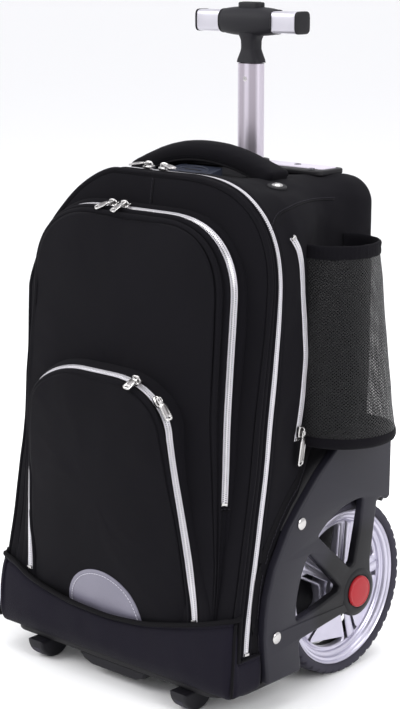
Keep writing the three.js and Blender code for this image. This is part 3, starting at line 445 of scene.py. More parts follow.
def joined(name, pieces):  # several pieces into one, keeping each one's materials
    mesh = bpy.data.meshes.new(name)
    shape = bmesh.new()
    materials = []
    for piece in pieces:
        first = len(shape.faces)
        shape.from_mesh(piece.data)
        shape.faces.ensure_lookup_table()
        places = []
        for material in piece.data.materials:
            if material not in materials:
                materials.append(material)
            places.append(materials.index(material))
        for face in shape.faces[first:]:
            face.material_index = places[face.material_index]
        old = piece.data
        bpy.data.objects.remove(piece)
        bpy.data.meshes.remove(old)
    shape.to_mesh(mesh)
    shape.free()
    for material in materials:
        mesh.materials.append(material)
    made = bpy.data.objects.new(name, mesh)
    bpy.context.collection.objects.link(made)
    return made


def carve(piece, cutter):
    cut = piece.modifiers.new("cut", "BOOLEAN")
    cut.operation = "DIFFERENCE"
    cut.object = cutter
    cut.solver = "EXACT"
    applied(piece)
    bpy.data.objects.remove(cutter)
    piece.data.polygons.foreach_set("use_smooth", [True] * len(piece.data.polygons))
    piece.data.set_sharp_from_angle(angle=math.radians(38))


# Arched panels: an outline seen from the front, as points (x, z) with the direction outwards of each.
# Both shoulders are superellipses (across, rise, power), and each part has a fixed number of points.
archSteps = {"bottom": 12, "corner": 7, "side": 84, "shoulder": 44, "top": 10}


def shoulderPoints(across, rise, power, steps):
    fine = []
    for k in range(161):
        turn = math.pi / 2 * k / 160
        fine.append(Vector((across * (1 - math.cos(turn) ** (2 / power)), rise * math.sin(turn) ** (2 / power))))
    return evenly(fine, steps)


def archHalf(panel, shoulder, half):
    across, rise, power = shoulder
    low, high, corner = panel["bottom"], panel["top"], panel["corner"]
    foot = half(low)
    side = [Vector(((foot - corner) * k / archSteps["bottom"], low)) for k in range(archSteps["bottom"])]
    for k in range(archSteps["corner"]):
        turn = math.pi / 2 * k / archSteps["corner"]
        side.append(Vector((foot - corner + corner * math.sin(turn), low + corner * (1 - math.cos(turn)))))
    for k in range(archSteps["side"]):
        z = mix(low + corner, high - rise, k / archSteps["side"])
        side.append(Vector((half(z), z)))
    edge = half(high - rise)
    for p in shoulderPoints(across, rise, power, archSteps["shoulder"]):
        side.append(Vector((edge - p.x, high - rise + p.y)))
    flat = edge - across
    for k in range(1, archSteps["top"] + 1):
        side.append(Vector((flat * (1 - k / archSteps["top"]), high)))
    return side


def archOutline(panel):
    right = archHalf(panel, panel["right"], panel["half"])
    left = archHalf(panel, panel.get("left", panel["right"]), panel.get("halfLeft", panel["half"]))
    ring = right + [Vector((-p.x, p.y)) for p in reversed(left[1:-1])]
    count = len(ring)
    outline = []
    for i, p in enumerate(ring):
        along = ring[(i + 1) % count] - ring[i - 1]
        outline.append((p, Vector((along.y, -along.x)).normalized()))
    return outline


def archRing(outline, face, out=0, back=0, spread=None):
    return [Vector((p.x + n.x * out, -face(p.y) + back * (spread(p.y) if spread else 1), p.y + n.y * out))
        for p, n in outline]


def faceRings(outline, face, spine, insets, crown):
    # rings inside the edge, drawn in towards an upright line between two heights, and pushed forward
    low, high = spine
    deepest = max(abs(p.x) for p, _ in outline)
    rings = []
    for inset in insets:
        share = max(1 - inset / deepest, 0.012)
        ring = []
        for p, _ in outline:
            middle = Vector((0, mix(low, high, within((p.y - outline[0][0].y)
                / (outline[len(outline) // 2][0].y - outline[0][0].y)))))
            away = p - middle
            near = max(1 - inset / max(away.length, 1), 0)
            q = middle + away * mix(share, near, share ** 3)
            push = crown * (1 - (1 - min(inset / deepest, 1)) ** 2.6)
            ring.append(Vector((q.x, -face(q.y) - push, q.y)))
        rings.append(ring)
    return rings


# What several pieces share, in mm: the wheels' (depth, height), the pull handle and its shaft
sides = ((1, "right"), (-1, "left"))
wheelCentre = (-48.3, 85.0)
handleLook = {"bar": 610.0, "ahead": -21.3}
wellLook = {"radius": 93.3, "inner": 100.7}
shaftLook = {"half": (17.7, 13.2), "heights": (38, 520)}

# Main body: heights are in mm, and each table gives a width or a depth up the bag
bodyPanel = {
    "bottom": 30, "top": 479, "corner": 16,
    "half": curveThrough([(24, 152.4), (60, 152), (120, 150.6), (250, 150), (385, 152.5), (480, 152.5)]),
    "right": (107, 94, 2.6), "left": (116, 122, 1.55),
    "halfLeft": curveThrough([(24, 150), (60, 147.5), (100, 145.5), (160, 144), (230, 144), (300, 147),
        (385, 151.5), (480, 152.5)]),
}
bodySpread = curveThrough([(30, 1), (290, 1), (350, 0.86), (410, 0.7), (455, 0.66), (472, 0.8), (479, 1)])
bodyFace = curveThrough([(30, 221.6), (76, 217.6), (122, 209.4), (180, 198.8), (228, 190.6), (276, 185),
    (322, 179.4), (361, 174.6), (400, 171.6), (480, 171)])
bodyLook = {"crown": 2.5, "pipe": 2.4, "zipFrom": 15.2, "zipTo": 22.8, "slump": 1.5}

# Edge of the body seen in section, from the face to behind the main zip: (outwards, backwards)
bodyEdge = [(-4.5, 0), (-3.2, 0.4), (-2.5, 1.7), (-1.9, 1.4), (-0.6, 0.3), (1.0, 0.3), (2.3, 1.4), (2.6, 2.6),
    (2.0, 4.1), (0.8, 5.0), (-0.2, 5.8), (0.7, 6.6), (1.3, 7.9), (1.3, 9.3), (0.7, 10.7), (-0.4, 11.5),
    (0.6, 12.2), (1.5, 13.2), (1.7, 14.2), (0.7, 14.9), (-0.8, 15.3), (-1.0, 17.2), (-1.0, 20.8),
    (-0.8, 22.8), (0.0, 23.2), (0.9, 23.8), (1.1, 25.0), (0.6, 26.4), (-0.4, 27.4), (0.3, 28.8)]

# Sections of the body behind the main zip: depth, half width, top, right and left shoulder
rearSections = [
    (127, 149.2, 474.5, (78, 68, 2.6), (102, 94, 1.8)),
    (112, 146, 472.6, (72, 58, 2.5), (86, 74, 1.9)),
    (98, 140.5, 472, (66, 50, 2.4), (74, 60, 2.1)),
    (82, 134.5, 472, (58, 42, 2.3), (62, 48, 2.2)),
    (67, 130.5, 472, (50, 35, 2.2), (52, 38, 2.2)),
    (40, 130.5, 472, (42, 31, 2.1), (42, 32, 2.1)),
    (18, 132.4, 472, (33, 28, 2.0), (33, 28, 2.0)),
    (7, 133.2, 471.6, (29, 26, 2.0), (29, 26, 2.0)),
    (2.4, 132.4, 470.6, (27, 24, 2.0), (27, 24, 2.0)),
    (0.3, 129.6, 468, (25, 22, 2.0), (25, 22, 2.0)),
]


def wellRows(side):  # the room that a wheel takes out of the bag's corner
    y, z = wheelCentre
    turns = [math.pi * k / 48 for k in range(49)]
    loop = [(y + wellLook["radius"] * math.cos(t), z + wellLook["radius"] * math.sin(t)) for t in turns]
    loop = [(loop[0][0], -60)] + loop + [(loop[-1][0], -60)]
    return [[Vector((side * x, y, z)) for y, z in loop] for x in (wellLook["inner"], 230)]


def tubeRows(steps=40):  # the shaft that the handle's tubes slide in
    halfWide, halfDeep = shaftLook["half"]
    return [[Vector((halfWide * math.cos(2 * math.pi * k / steps),
        handleLook["ahead"] + halfDeep * math.sin(2 * math.pi * k / steps), z)) for k in range(steps)]
        for z in shaftLook["heights"]]


def mainBody():
    outline = archOutline(bodyPanel)
    insets = (150, 118, 88, 64, 46, 33, 23, 15, 9)
    rows = faceRings(outline, bodyFace, (180, 330), insets, bodyLook["crown"])
    for out, back in bodyEdge:
        rows.append(archRing(outline, bodyFace, out, back, bodySpread))
    sections = []
    for depth, half, top, right, left in rearSections:
        panel = {"bottom": 30, "top": top, "corner": 14, "half": lambda z, half=half: half, "right": right,
            "left": left}
        sections.append([Vector((p.x, -depth, p.y)) for p, _ in archOutline(panel)])
    start = rows[-1]
    for share in (0.1, 0.22, 0.36, 0.5, 0.64, 0.78, 0.9):
        ease = share * share * (3 - 2 * share)
        rows.append([Vector((mix(p.x, q.x, ease), mix(p.y, q.y, share), mix(p.z, q.z, ease)))
            for p, q in zip(start, sections[0])])
    for near, far in zip(sections, sections[1:]):
        gap = abs(far[0].y - near[0].y)
        for k in range(max(int(gap / 5), 1)):
            rows.append([p.lerp(q, k / max(int(gap / 5), 1)) for p, q in zip(near, far)])
    rows.append(sections[-1])
    for inset in (3, 8, 20, 45, 80, 115):
        rows.append([Vector((p.x * (1 - inset / 129.6), 0, 250 + (p.z - 250) * (1 - inset / 218)))
            for p in sections[-1]])
    body = gridPiece("mainBody", rows, bodyCloth, caps=(True, True))

    def loose(p):  # the cloth is slack on the sides and the top, and taut by the seams and the back
        depth = (backY * 1000) - p.y
        fromZip = bodyFace(p.z) - depth
        share = within((fromZip - 27) / 12) * within(depth / 20)
        return max(share, 0.25 if fromZip < 3 else 0.12)

    ruffle(body, [(2.6 * bodyLook["slump"], 62, 1), (1.1 * bodyLook["slump"], 27, 2), (0.35, 11, 3)], loose)
    for rows in (wellRows(1), wellRows(-1), tubeRows()):
        carve(body, gridPiece("cutter", rows, bodyCloth, caps=(True, True)))
    finish(body, "main_shell")
    return outline


bodyOutline = mainBody()
print("main body made")


# A zip runs along frames: (place, outwards, along). Two rows of teeth lie on a silver band over black tape
zipLook = {"tape": 9.0, "stripe": 1.45, "chain": 1.8, "pitch": 1.9, "tooth": (2.3, 1.15, 0.85)}


def framesFrom(points, outs):
    frames = []
    for i, (p, out) in enumerate(zip(points, outs)):
        along = (points[min(i + 1, len(points) - 1)] - points[max(i - 1, 0)]).normalized()
        frames.append((p, (out - along * out.dot(along)).normalized(), along))
    return frames


def framesAt(frames, step):  # frames at even steps along the way
    lengths = [0]
    for before, after in zip(frames, frames[1:]):
        lengths.append(lengths[-1] + (after[0] - before[0]).length)
    count = max(int(lengths[-1] / step), 1)
    made = []
    k = 0
    for i in range(count + 1):
        along = lengths[-1] * i / count
        while k < len(frames) - 2 and lengths[k + 1] < along:
            k += 1
        share = min((along - lengths[k]) / max(lengths[k + 1] - lengths[k], 1e-9), 1)
        made.append((frames[k][0].lerp(frames[k + 1][0], share),
            frames[k][1].lerp(frames[k + 1][1], share).normalized(),
            frames[k][2].lerp(frames[k + 1][2], share).normalized()))
    return made


def ribbonRows(frames, section):
    return [[p + along.cross(out).normalized() * side + out * up for side, up in section]
        for p, out, along in frames]


def blocks(name, frames, sizes, material, shift=0.0, lift=0.0, chamfer=0.25):
    # small chamfered blocks: sizes are across, along and up
    across, along, up = (s / 2 for s in sizes)
    points, faces = [], []
    for p, out, run in frames:
        side = run.cross(out).normalized()
        base = p + side * shift + out * lift
        first = len(points)
        for level, shrink in ((0, 0), (2 * up - chamfer, 0), (2 * up, chamfer)):
            for s, r in ((-1, -1), (1, -1), (1, 1), (-1, 1)):
                points.append(base + side * (s * (across - shrink)) + run * (r * (along - shrink * 0.7))
                    + out * level)
        for level in (0, 4):
            for k in range(4):
                n = (k + 1) % 4
                faces.append((first + level + k, first + level + n, first + level + 4 + n, first + level + 4 + k))
        faces.append((first + 8, first + 9, first + 10, first + 11))
        faces.append((first + 3, first + 2, first + 1, first))
    return meshPiece(name, points, faces, material, sharp=30)


def zipRun(name, frames, node, tape=zipLook["tape"]):
    base = framesAt(frames, 3.0)
    half, chain, stripe = tape / 2, zipLook["chain"], zipLook["stripe"]
    cloth = gridPiece(name + "Tape", ribbonRows(base, [(-half, -0.5), (-half, 0.35), (-chain - stripe, 0.6),
        (chain + stripe, 0.6), (half, 0.35), (half, -0.5)]), zipTape, caps=(True, True), sharp=40)
    parts = [cloth]
    for side in (-1, 1):
        section = [(side * chain, 0.4), (side * chain, 1.0), (side * (chain + 0.3), 1.25),
            (side * (chain + stripe - 0.4), 1.2), (side * (chain + stripe), 0.8), (side * (chain + stripe), 0.4)]
        parts.append(gridPiece(name + "Stripe", ribbonRows(base, section[::-side]), zipStripe,
            caps=(True, True), sharp=40))
    wide, long, high = zipLook["tooth"]
    teeth = framesAt(frames, zipLook["pitch"])
    for side in (-1, 1):
        places = [(p + along * (side * zipLook["pitch"] / 4), out, along) for p, out, along in teeth[1:-1]]
        parts.append(blocks(name + "Teeth", places, (wide, long, high), zipSilver, side * (wide / 2 - 0.5), 0.75))
    stop = [(p, out, along) for p, out, along in (teeth[1], teeth[-2])]
    parts.append(blocks(name + "Stops", stop, (5.4, 2.4, 1.9), nickel, 0, 0.9))
    made = joined(name, parts)
    return finish(made, node, "zip")


def stitchRun(name, frames, material, pitch=3.2, length=2.2, thick=0.5):
    places = framesAt(frames, pitch)
    return blocks(name, places, (thick, length, thick * 0.8), material, chamfer=0.15)


def archFrames(outline, face, back, low, out=0.0, lows=None, spread=None):
    # frames along an arch, from a height on the right over the top to a height on the left
    ring = archRing(outline, face, out, back, spread)
    top = len(ring) // 2
    start = next(i for i, p in enumerate(ring) if p.x > 0 and p.z >= low and i > archSteps["bottom"])
    end = max(i for i, p in enumerate(ring) if i > top and p.z >= (lows or low))
    points = ring[start:end + 1]
    outs = [Vector((n.x, 0, n.y)) for p, n in outline[start:end + 1]]
    return framesFrom(points, outs)


zipMiddle = (bodyLook["zipFrom"] + bodyLook["zipTo"]) / 2
mainZipFrames = archFrames(bodyOutline, bodyFace, zipMiddle, 60, -0.6, spread=bodySpread)
zipRun("mainZip", mainZipFrames, "zip_main", 8.4)
print("main zip made")


# Pockets: a padded face, a piped edge, and a gusset back to the panel that they are sewn to
def gussetRows(near, far, profile, full, settle=None):
    # profile is (millimetres back from the face's edge on a gusset of full depth, outwards)
    rows = []
    count = len(near)
    for back, out in profile:
        row = []
        for i in range(count):
            way = far[i] - near[i]
            along = near[(i + 1) % count] - near[i - 1]
            outwards = way.cross(along).normalized()
            share = back / full
            height = out * (settle(near[i]) if settle else 1)
            row.append(near[i] + way * share + outwards * height)
        rows.append(row)
    return rows


def gussetFrames(near, far, back, full, low, lift, lows=None):
    count = len(near)
    places = []
    for i in range(count):
        way = far[i] - near[i]
        along = near[(i + 1) % count] - near[i - 1]
        outwards = way.cross(along).normalized()
        places.append((near[i] + way * (back / full) + outwards * lift, outwards))
    top = count // 2
    start = next(i for i in range(archSteps["bottom"] + 1, top) if places[i][0].z >= low)
    end = max(i for i in range(top, count) if places[i][0].z >= (lows or low))
    return framesFrom([p for p, o in places[start:end + 1]], [o for p, o in places[start:end + 1]])


frontPanel = {"bottom": 70, "top": 440.5, "corner": 10, "right": (78, 70, 2.5),
    "half": curveThrough([(70, 130.6), (94, 129), (200, 121.5), (300, 116.4), (375, 114), (441, 114)])}
frontSeam = {"bottom": 68, "top": 451, "corner": 10, "right": (90, 80, 2.5),
    "half": curveThrough([(68, 134), (200, 131.6), (300, 130), (385, 129), (451, 129)])}
frontFace = curveThrough([(68, 222), (94, 218.9), (120, 215), (150, 212), (200, 210.8), (261, 210),
    (306, 206.7), (350, 202.4), (394, 198.4), (425, 196), (441, 194.4)])
frontLook = {"crown": 5.0, "zipEnd": 194, "gusset": 26.5}
frontProfile = [(0.6, -1.5), (1.1, -0.7), (1.8, 0.9), (3.0, 1.9), (4.4, 1.9), (5.6, 0.9), (6.3, -0.4),
    (7.1, 0.5), (8.4, 1.7), (9.9, 2.3), (11.0, 2.1), (11.7, 0.4), (11.9, -0.8), (19.4, -0.8), (20.2, -0.2),
    (21.4, 0.6), (23.2, 0.9), (25.2, 0.7), (26.5, 0.0)]


def frontPocket():
    edge = archOutline(frontPanel)
    near = archRing(edge, frontFace)
    far = archRing(archOutline(frontSeam), bodyFace, 0, 1.0)
    rows = faceRings(edge, frontFace, (190, 320), (114, 96, 78, 60, 45, 33, 24, 16, 10, 6, 3.4, 1.8),
        frontLook["crown"])
    rows.append([p.copy() for p in near])

    def settled(p):
        return within((p.z - 90) / 40, 0.15, 1) + 0.5 * within((p.z - 220) / 100)

    rows += gussetRows(near, far, frontProfile, frontLook["gusset"], settled)
    rows.append([p + Vector((0, 6, 0)) for p in rows[-1]])
    pocket = gridPiece("frontPocket", rows, bodyCloth, caps=(True, False))
    ruffle(pocket, [(2.4, 70, 11), (0.9, 30, 12), (0.3, 10, 13)],
        lambda p: 1 if backY * 1000 - p.y > frontFace(p.z) - 0.5 else 0.35)
    finish(pocket, "front_pocket")
    return near, far


frontNear, frontFar = frontPocket()
frontZipFrames = gussetFrames(frontNear, frontFar, 15.2, frontLook["gusset"], frontLook["zipEnd"], -0.7)
zipRun("frontZip", frontZipFrames, "zip_front", 7.6)
print("front pocket made")

lowerPanel = {"bottom": 66, "top": 300, "corner": 8, "right": (66, 44, 2.05),
    "half": curveThrough([(66, 98.6), (94, 98.4), (132, 98), (157, 96), (184, 93), (214, 89), (245, 85),
    (260, 82.5), (300, 82)])}
lowerSeam = {"bottom": 64, "top": 307.5, "corner": 8, "right": (74, 50, 2.1),
    "half": curveThrough([(64, 134), (98, 127), (140, 112), (191, 99), (258, 90), (307, 90)]),
    "halfLeft": curveThrough([(64, 120), (98, 121), (140, 120), (191, 116), (258, 103), (307, 92)])}
lowerFace = curveThrough([(64, 220), (94, 220.6), (132, 224.4), (157, 227), (184, 230), (214, 234),
    (245, 237.6), (280, 239.6), (301, 239.4)])
lowerLook = {"crown": 9.0, "zipEnd": 88, "gusset": 24.0}
lowerProfile = [(0.5, -1.3), (1.0, -0.5), (1.7, 1.0), (2.7, 1.8), (3.9, 1.9), (4.8, 1.2), (5.2, -0.1),
    (5.5, -0.6), (12.6, -0.6), (13.2, -0.2), (14.2, 0.5), (17.0, 0.9), (21.0, 0.7), (24.0, 0.0)]


def lowerPocket():
    edge = archOutline(lowerPanel)
    near = archRing(edge, lowerFace)
    far = archRing(archOutline(lowerSeam), frontFace, 0, -1.0)
    rows = faceRings(edge, lowerFace, (158, 215), (82, 70, 58, 46, 35, 26, 18, 12, 7, 4, 2),
        lowerLook["crown"])
    rows.append([p.copy() for p in near])
    rows += gussetRows(near, far, lowerProfile, lowerLook["gusset"])
    rows.append([p + Vector((0, 7, 0)) for p in rows[-1]])
    pocket = gridPiece("lowerPocket", rows, bodyCloth, caps=(True, False))
    ruffle(pocket, [(2.0, 58, 21), (0.8, 26, 22), (0.3, 9, 23)],
        lambda p: 1 if backY * 1000 - p.y > lowerFace(p.z) - 0.5 else 0.3)
    finish(pocket, "lower_pocket")
    return pocket, near, far


lowerPiece, lowerNear, lowerFar = lowerPocket()
lowerZipFrames = gussetFrames(lowerNear, lowerFar, 9.2, lowerLook["gusset"], lowerLook["zipEnd"], 0.0)
zipRun("lowerZip", lowerZipFrames, "zip_lower", 7.0)
print("lower pocket made")


# Panel round the foot: it wraps the front and both sides, as far as the wheel guards
bandLook = {"foot": 26.0, "end": 184.6, "corner": 5, "lift": 3.3, "crown": 7.2, "pipe": 2.3}
bandTop = curveThrough([(-160, 96), (-127, 91.5), (-106, 84), (-78, 77.5), (-37, 72), (2, 70.6), (42, 73.4),
    (91, 83), (139, 95.5), (156, 101)])


def bandPath(z, out=0.0):  # points round the foot at a height, with the share of the way to each corner
    half = bodyPanel["half"](z) + out
    front = bodyFace(z)
    radius = bandLook["corner"]
    path = []
    for k in range(10):
        path.append((Vector((half, -mix(bandLook["end"], front - radius, k / 10), z)), Vector((1, 0, 0)), 1.0))
    for k in range(11):
        turn = math.pi / 2 * k / 10
        direction = Vector((math.cos(turn), -math.sin(turn), 0))
        path.append((Vector((half - radius, -front + radius, z)) + direction * radius, direction, 1 - k / 20))
    steps = 60
    for k in range(1, steps):
        path.append((Vector((mix(half - radius, radius - half, k / steps), -front, z)), Vector((0, -1, 0)), 0.0))
    slim = bodyPanel["half"](z) - bodyPanel["halfLeft"](z)  # the bag is a little slimmer on the left
    for p, direction, share in reversed(path[:21]):
        path.append((Vector((slim - p.x, p.y, p.z)), Vector((-direction.x, direction.y, 0)), share))
    return path


def bandPoint(k, z, lift):
    p, direction, side = bandPath(z)[k]
    x = abs(p.x)
    plateau = 1 - min(x / 151, 1) ** 7
    low = within((z - 28) / 16)
    crown = bandLook["crown"] * plateau * math.sin(low * math.pi / 2) if p.y < -bodyFace(z) + 1 else 0
    corner = 1.6 * math.sin(within((z - 26) / 60) * math.pi) * (1 - abs(2 * side - 0.9))
    return p + direction * (lift + crown + max(corner, 0)), direction


def bandTopAt(k):  # the side parts are lower than the corner seams, and end where the main zip starts
    p, _, side = bandPath(80)[k]
    if side >= 0.99:
        return 60.0
    return bandTop(p.x)


def baseBand():
    count = len(bandPath(80))
    profile = [(0.0, -1.5), (0.0, 0.6), (0.012, 1.4), (0.03, 1.6), (0.05, 0.9), (0.062, 0.1), (0.075, 1.0),
        (0.11, 1.6), (0.2, 2.0), (0.32, 2.2), (0.45, 2.3), (0.58, 2.2), (0.7, 2.0), (0.82, 1.5), (0.91, 0.6),
        (0.97, -1.0), (1.0, -3.2)]
    rows = []
    for share, lift in profile:
        row = []
        for k in range(count):
            top = bandTopAt(k)
            z = mix(top, bandLook["foot"], share)
            p, direction = bandPoint(k, max(z, 28), bandLook["lift"] - 1.6 + lift)
            row.append(Vector((p.x, p.y, z)))
        rows.append(row)
    for inward in (9, 22):
        rows.append([Vector((p.x * (1 - inward / 200), p.y + inward * 0.9, 26.2)) for p in rows[-1]])
    band = gridPiece("baseBand", rows, baseCloth, closed=False)
    ruffle(band, [(1.5, 48, 31), (0.7, 20, 32), (0.25, 8, 33)], lambda p: within((p.z - 27) / 10))
    thicken(band, 1.6)
    pipes = []
    for name, keys in (("pipe", range(10, count - 10)), ("sideRight", range(0, 10)),
            ("sideLeft", range(count - 10, count))):
        path = []
        for k in keys:
            z = bandTopAt(k)
            p, direction = bandPoint(k, z, bandLook["lift"] + 0.2)
            path.append((Vector((p.x, p.y, z + 0.6)), direction))
        line = smoothLine([p for p, _ in path], 2.2)
        ups = [min(path, key=lambda q: (q[0] - p).length)[1] for p in line]
        radius = bandLook["pipe"] if name == "pipe" else 1.1
        pipes.append(sweepPath(name, line, ovalSection(2 * radius, 2 * radius, 10), pipingCloth, ups))
    for k in (14, count - 15):  # the seams that run down both front corners
        path = []
        for step in range(24):
            z = mix(bandTopAt(k) - 2, 30, step / 23)
            p, direction = bandPoint(k, z, bandLook["lift"] + 0.9)
            path.append(Vector((p.x, p.y, z)))
        pipes.append(sweepPath("cornerPipe", path, ovalSection(3.0, 3.0, 8), pipingCloth, direction))
    band = joined("baseBand", [band] + pipes)
    return finish(band, "base_band", "base_fabric")


bandPiece = baseBand()
print("base band made")


# Reflecting half disc sewn on the foot of the lower pocket, with a row of stitches inside its edge
reflectorLook = {"middle": (-3, 66), "wide": 49, "high": 47.5, "stitch": 3.4}


def surfaceOf(*covered):
    trees = []
    for piece in covered:
        shape = bmesh.new()
        shape.from_mesh(piece.data)
        trees.append(BVHTree.FromBMesh(shape))
        shape.free()

    def hit(start, direction):  # place and direction of the first surface met, in mm
        best = None
        for tree in trees:
            place, normal, _, far = tree.ray_cast(toFrame(start), direction)
            if place and (best is None or far < best[2]):
                best = (toBag(place), normal, far)
        if best is None:
            return None
        return best[0], best[1] if best[1].dot(direction) < 0 else -best[1]

    return hit


def reflector():
    onPocket = surfaceOf(lowerPiece)
    centreX, centreZ = reflectorLook["middle"]

    def at(turn, share, lift):
        x = centreX + reflectorLook["wide"] * share * math.cos(turn)
        z = centreZ + reflectorLook["high"] * share * math.sin(turn)
        met = onPocket(Vector((x, -300, z)), Vector((0, 1, 0)))
        return met[0] + Vector((0, -lift, 0)), met[1]

    turns = [math.pi * (k / 64) for k in range(65)]
    rows = []
    for share, lift in ((1.0, -0.2), (1.0, 0.9), (0.975, 1.35), (0.93, 1.15), (0.9, 1.1), (0.87, 1.35),
            (0.7, 1.5), (0.5, 1.6), (0.3, 1.7), (0.12, 1.7), (0.01, 1.7)):
        rows.append([at(t, share, lift)[0] for t in turns])
    patch = gridPiece("reflectorPatch", rows, reflectorTape, closed=False)
    line = [at(t, 0.915, 1.25) for t in turns]
    stitches = stitchRun("stitches", framesFrom([p for p, n in line], [n for p, n in line]), reflectorThread,
        3.4, 2.3, 0.7)
    return finish(joined("reflectorPatch", [patch, stitches]), "reflector", "reflector")


reflectorThread = ribbedCloth("reflector thread", linear(196, 194, 205), 0.001, 0.6)
reflectorPiece = reflector()
print("reflector made")


# Flat moulded pieces: outlines in a plane, with rounded corners, raised to a thickness with soft edges
def rounded(corners):  # corners are (u, v, radius)
    points = []
    count = len(corners)
    for i, (u, v, radius) in enumerate(corners):
        here = Vector((u, v))
        if radius <= 0:
            points.append(here)
            continue
        before = Vector(corners[i - 1][:2]) - here
        after = Vector(corners[(i + 1) % count][:2]) - here
        turn = before.angle(after)
        reach = min(radius / math.tan(turn / 2), before.length * 0.49, after.length * 0.49)
        radius = reach * math.tan(turn / 2)
        middle = here + (before.normalized() + after.normalized()).normalized() * (radius / math.sin(turn / 2))
        start = here + before.normalized() * reach - middle
        end = here + after.normalized() * reach - middle
        swing = start.angle_signed(end)
        steps = max(int(abs(swing) * radius / 1.2), 3)
        for k in range(steps + 1):
            turned = start.copy()
            turned.rotate(Matrix.Rotation(-swing * k / steps, 2))
            points.append(middle + turned)
    return points


def arcPoints(centre, radius, first, last, steps):
    return [(centre[0] + radius * math.cos(math.radians(mix(first, last, k / steps))),
        centre[1] + radius * math.sin(math.radians(mix(first, last, k / steps)))) for k in range(steps + 1)]


def plate(name, outlines, thick, bevel, place, material, smooth=3):
    # place turns (u, v, height above the plate's lower face) into millimetres
    drawing = bpy.data.curves.new(name, "CURVE")
    drawing.dimensions = "2D"
    drawing.fill_mode = "BOTH"
    drawing.extrude = (thick / 2 - bevel) / 1000
    drawing.bevel_depth = bevel / 1000
    drawing.bevel_resolution = smooth
    drawing.offset = -bevel / 1000
    for outline in outlines:
        spline = drawing.splines.new("POLY")
        spline.points.add(len(outline) - 1)
        for point, (u, v) in zip(spline.points, outline):
            point.co = (u / 1000, v / 1000, 0, 1)
        spline.use_cyclic_u = True
    holder = bpy.data.objects.new(name, drawing)
    bpy.context.collection.objects.link(holder)
    bpy.context.view_layer.update()
    mesh = bpy.data.meshes.new_from_object(holder.evaluated_get(bpy.context.evaluated_depsgraph_get()))
    points = [place(v.co.x * 1000, v.co.y * 1000, v.co.z * 1000 + thick / 2) for v in mesh.vertices]
    faces = [tuple(face.vertices) for face in mesh.polygons]
    bpy.data.objects.remove(holder)
    bpy.data.curves.remove(drawing)
    bpy.data.meshes.remove(mesh)
    return meshPiece(name, points, faces, material, sharp=32)


def turned(name, profile, steps, axis, material, sharp=35, wave=None, closed=True):
    # a piece turned about the line through axis along X: profile is (along X, radius)
    middle = Vector(axis)
    rows = []
    for along, radius in profile:
        row = []
        for k in range(steps):
            turn = 2 * math.pi * k / steps
            r = radius - (wave(along, radius, turn) if wave else 0)
            row.append(middle + Vector((along, r * math.cos(turn), r * math.sin(turn))))
        rows.append(row)
    if closed:
        rows.append(rows[0])
    return gridPiece(name, rows, material, caps=(False, False) if closed else (True, True), sharp=sharp)


def bothSides(make):
    for side, word in sides:
        make(side, word)


guardLook = {"plane": 161, "thick": 10, "bevel": 2.6, "arch": 90, "hub": 24.5, "inner": 101}


def armPoint(angle, out, off):
    turn = math.radians(angle)
    return (wheelCentre[0] + math.cos(turn) * out - math.sin(turn) * off,
        wheelCentre[1] + math.sin(turn) * out + math.cos(turn) * off)


def guardOutlines():
    arch, hub = guardLook["arch"], guardLook["hub"]
    outer = [(-179, 30, 3), (-182.5, 56, 30), (-184, 75, 40), (-182.8, 94, 40), (-180, 112, 40),
        (-171, 138, 40), (-151, 170, 40), (-133, 189, 30), (-109, 212, 30), (-84.5, 232, 12), (-74, 236.2, 8),
        (0, 236.2, 6), (0, 162.5, 5), (-13.5, 169.6, 5)]
    outer.append((*armPoint(78, 86, -11.2), 4))
    outer.append((*armPoint(78, 30, -12.6), 10))
    outer += [(y, z, 0) for y, z in arcPoints(wheelCentre, hub, 38, -136, 26)]
    outer.append((*armPoint(190, 30, 12.6), 10))
    outer.append((*armPoint(190, 88, 10.4), 5))
    outer += [(-133.6, 52, 6), (-130.5, 30, 3)]
    first = [(*armPoint(78, 26.5, 12.6), 5), (*armPoint(78, 60, 11.6), 0)]
    first += [(*p, 9 if i in (0, 14) else 0) for i, p in enumerate(arcPoints(wheelCentre, arch, 85.4, 131, 14))]
    first += [(*armPoint(137, 60, -9.6), 0), (*armPoint(137, 27.5, -10.8), 6)]
    second = [(*armPoint(137, 27.5, 10.6), 6), (*armPoint(137, 60, 9.4), 0)]
    second += [(*p, 10 if i in (0, 14) else 0) for i, p in enumerate(arcPoints(wheelCentre, arch, 143, 183.4,
        14))]
    second += [(*armPoint(190, 60, -10.4), 0), (*armPoint(190, 27.5, -12.2), 6)]
    return [rounded(outer), rounded(first), rounded(second)]


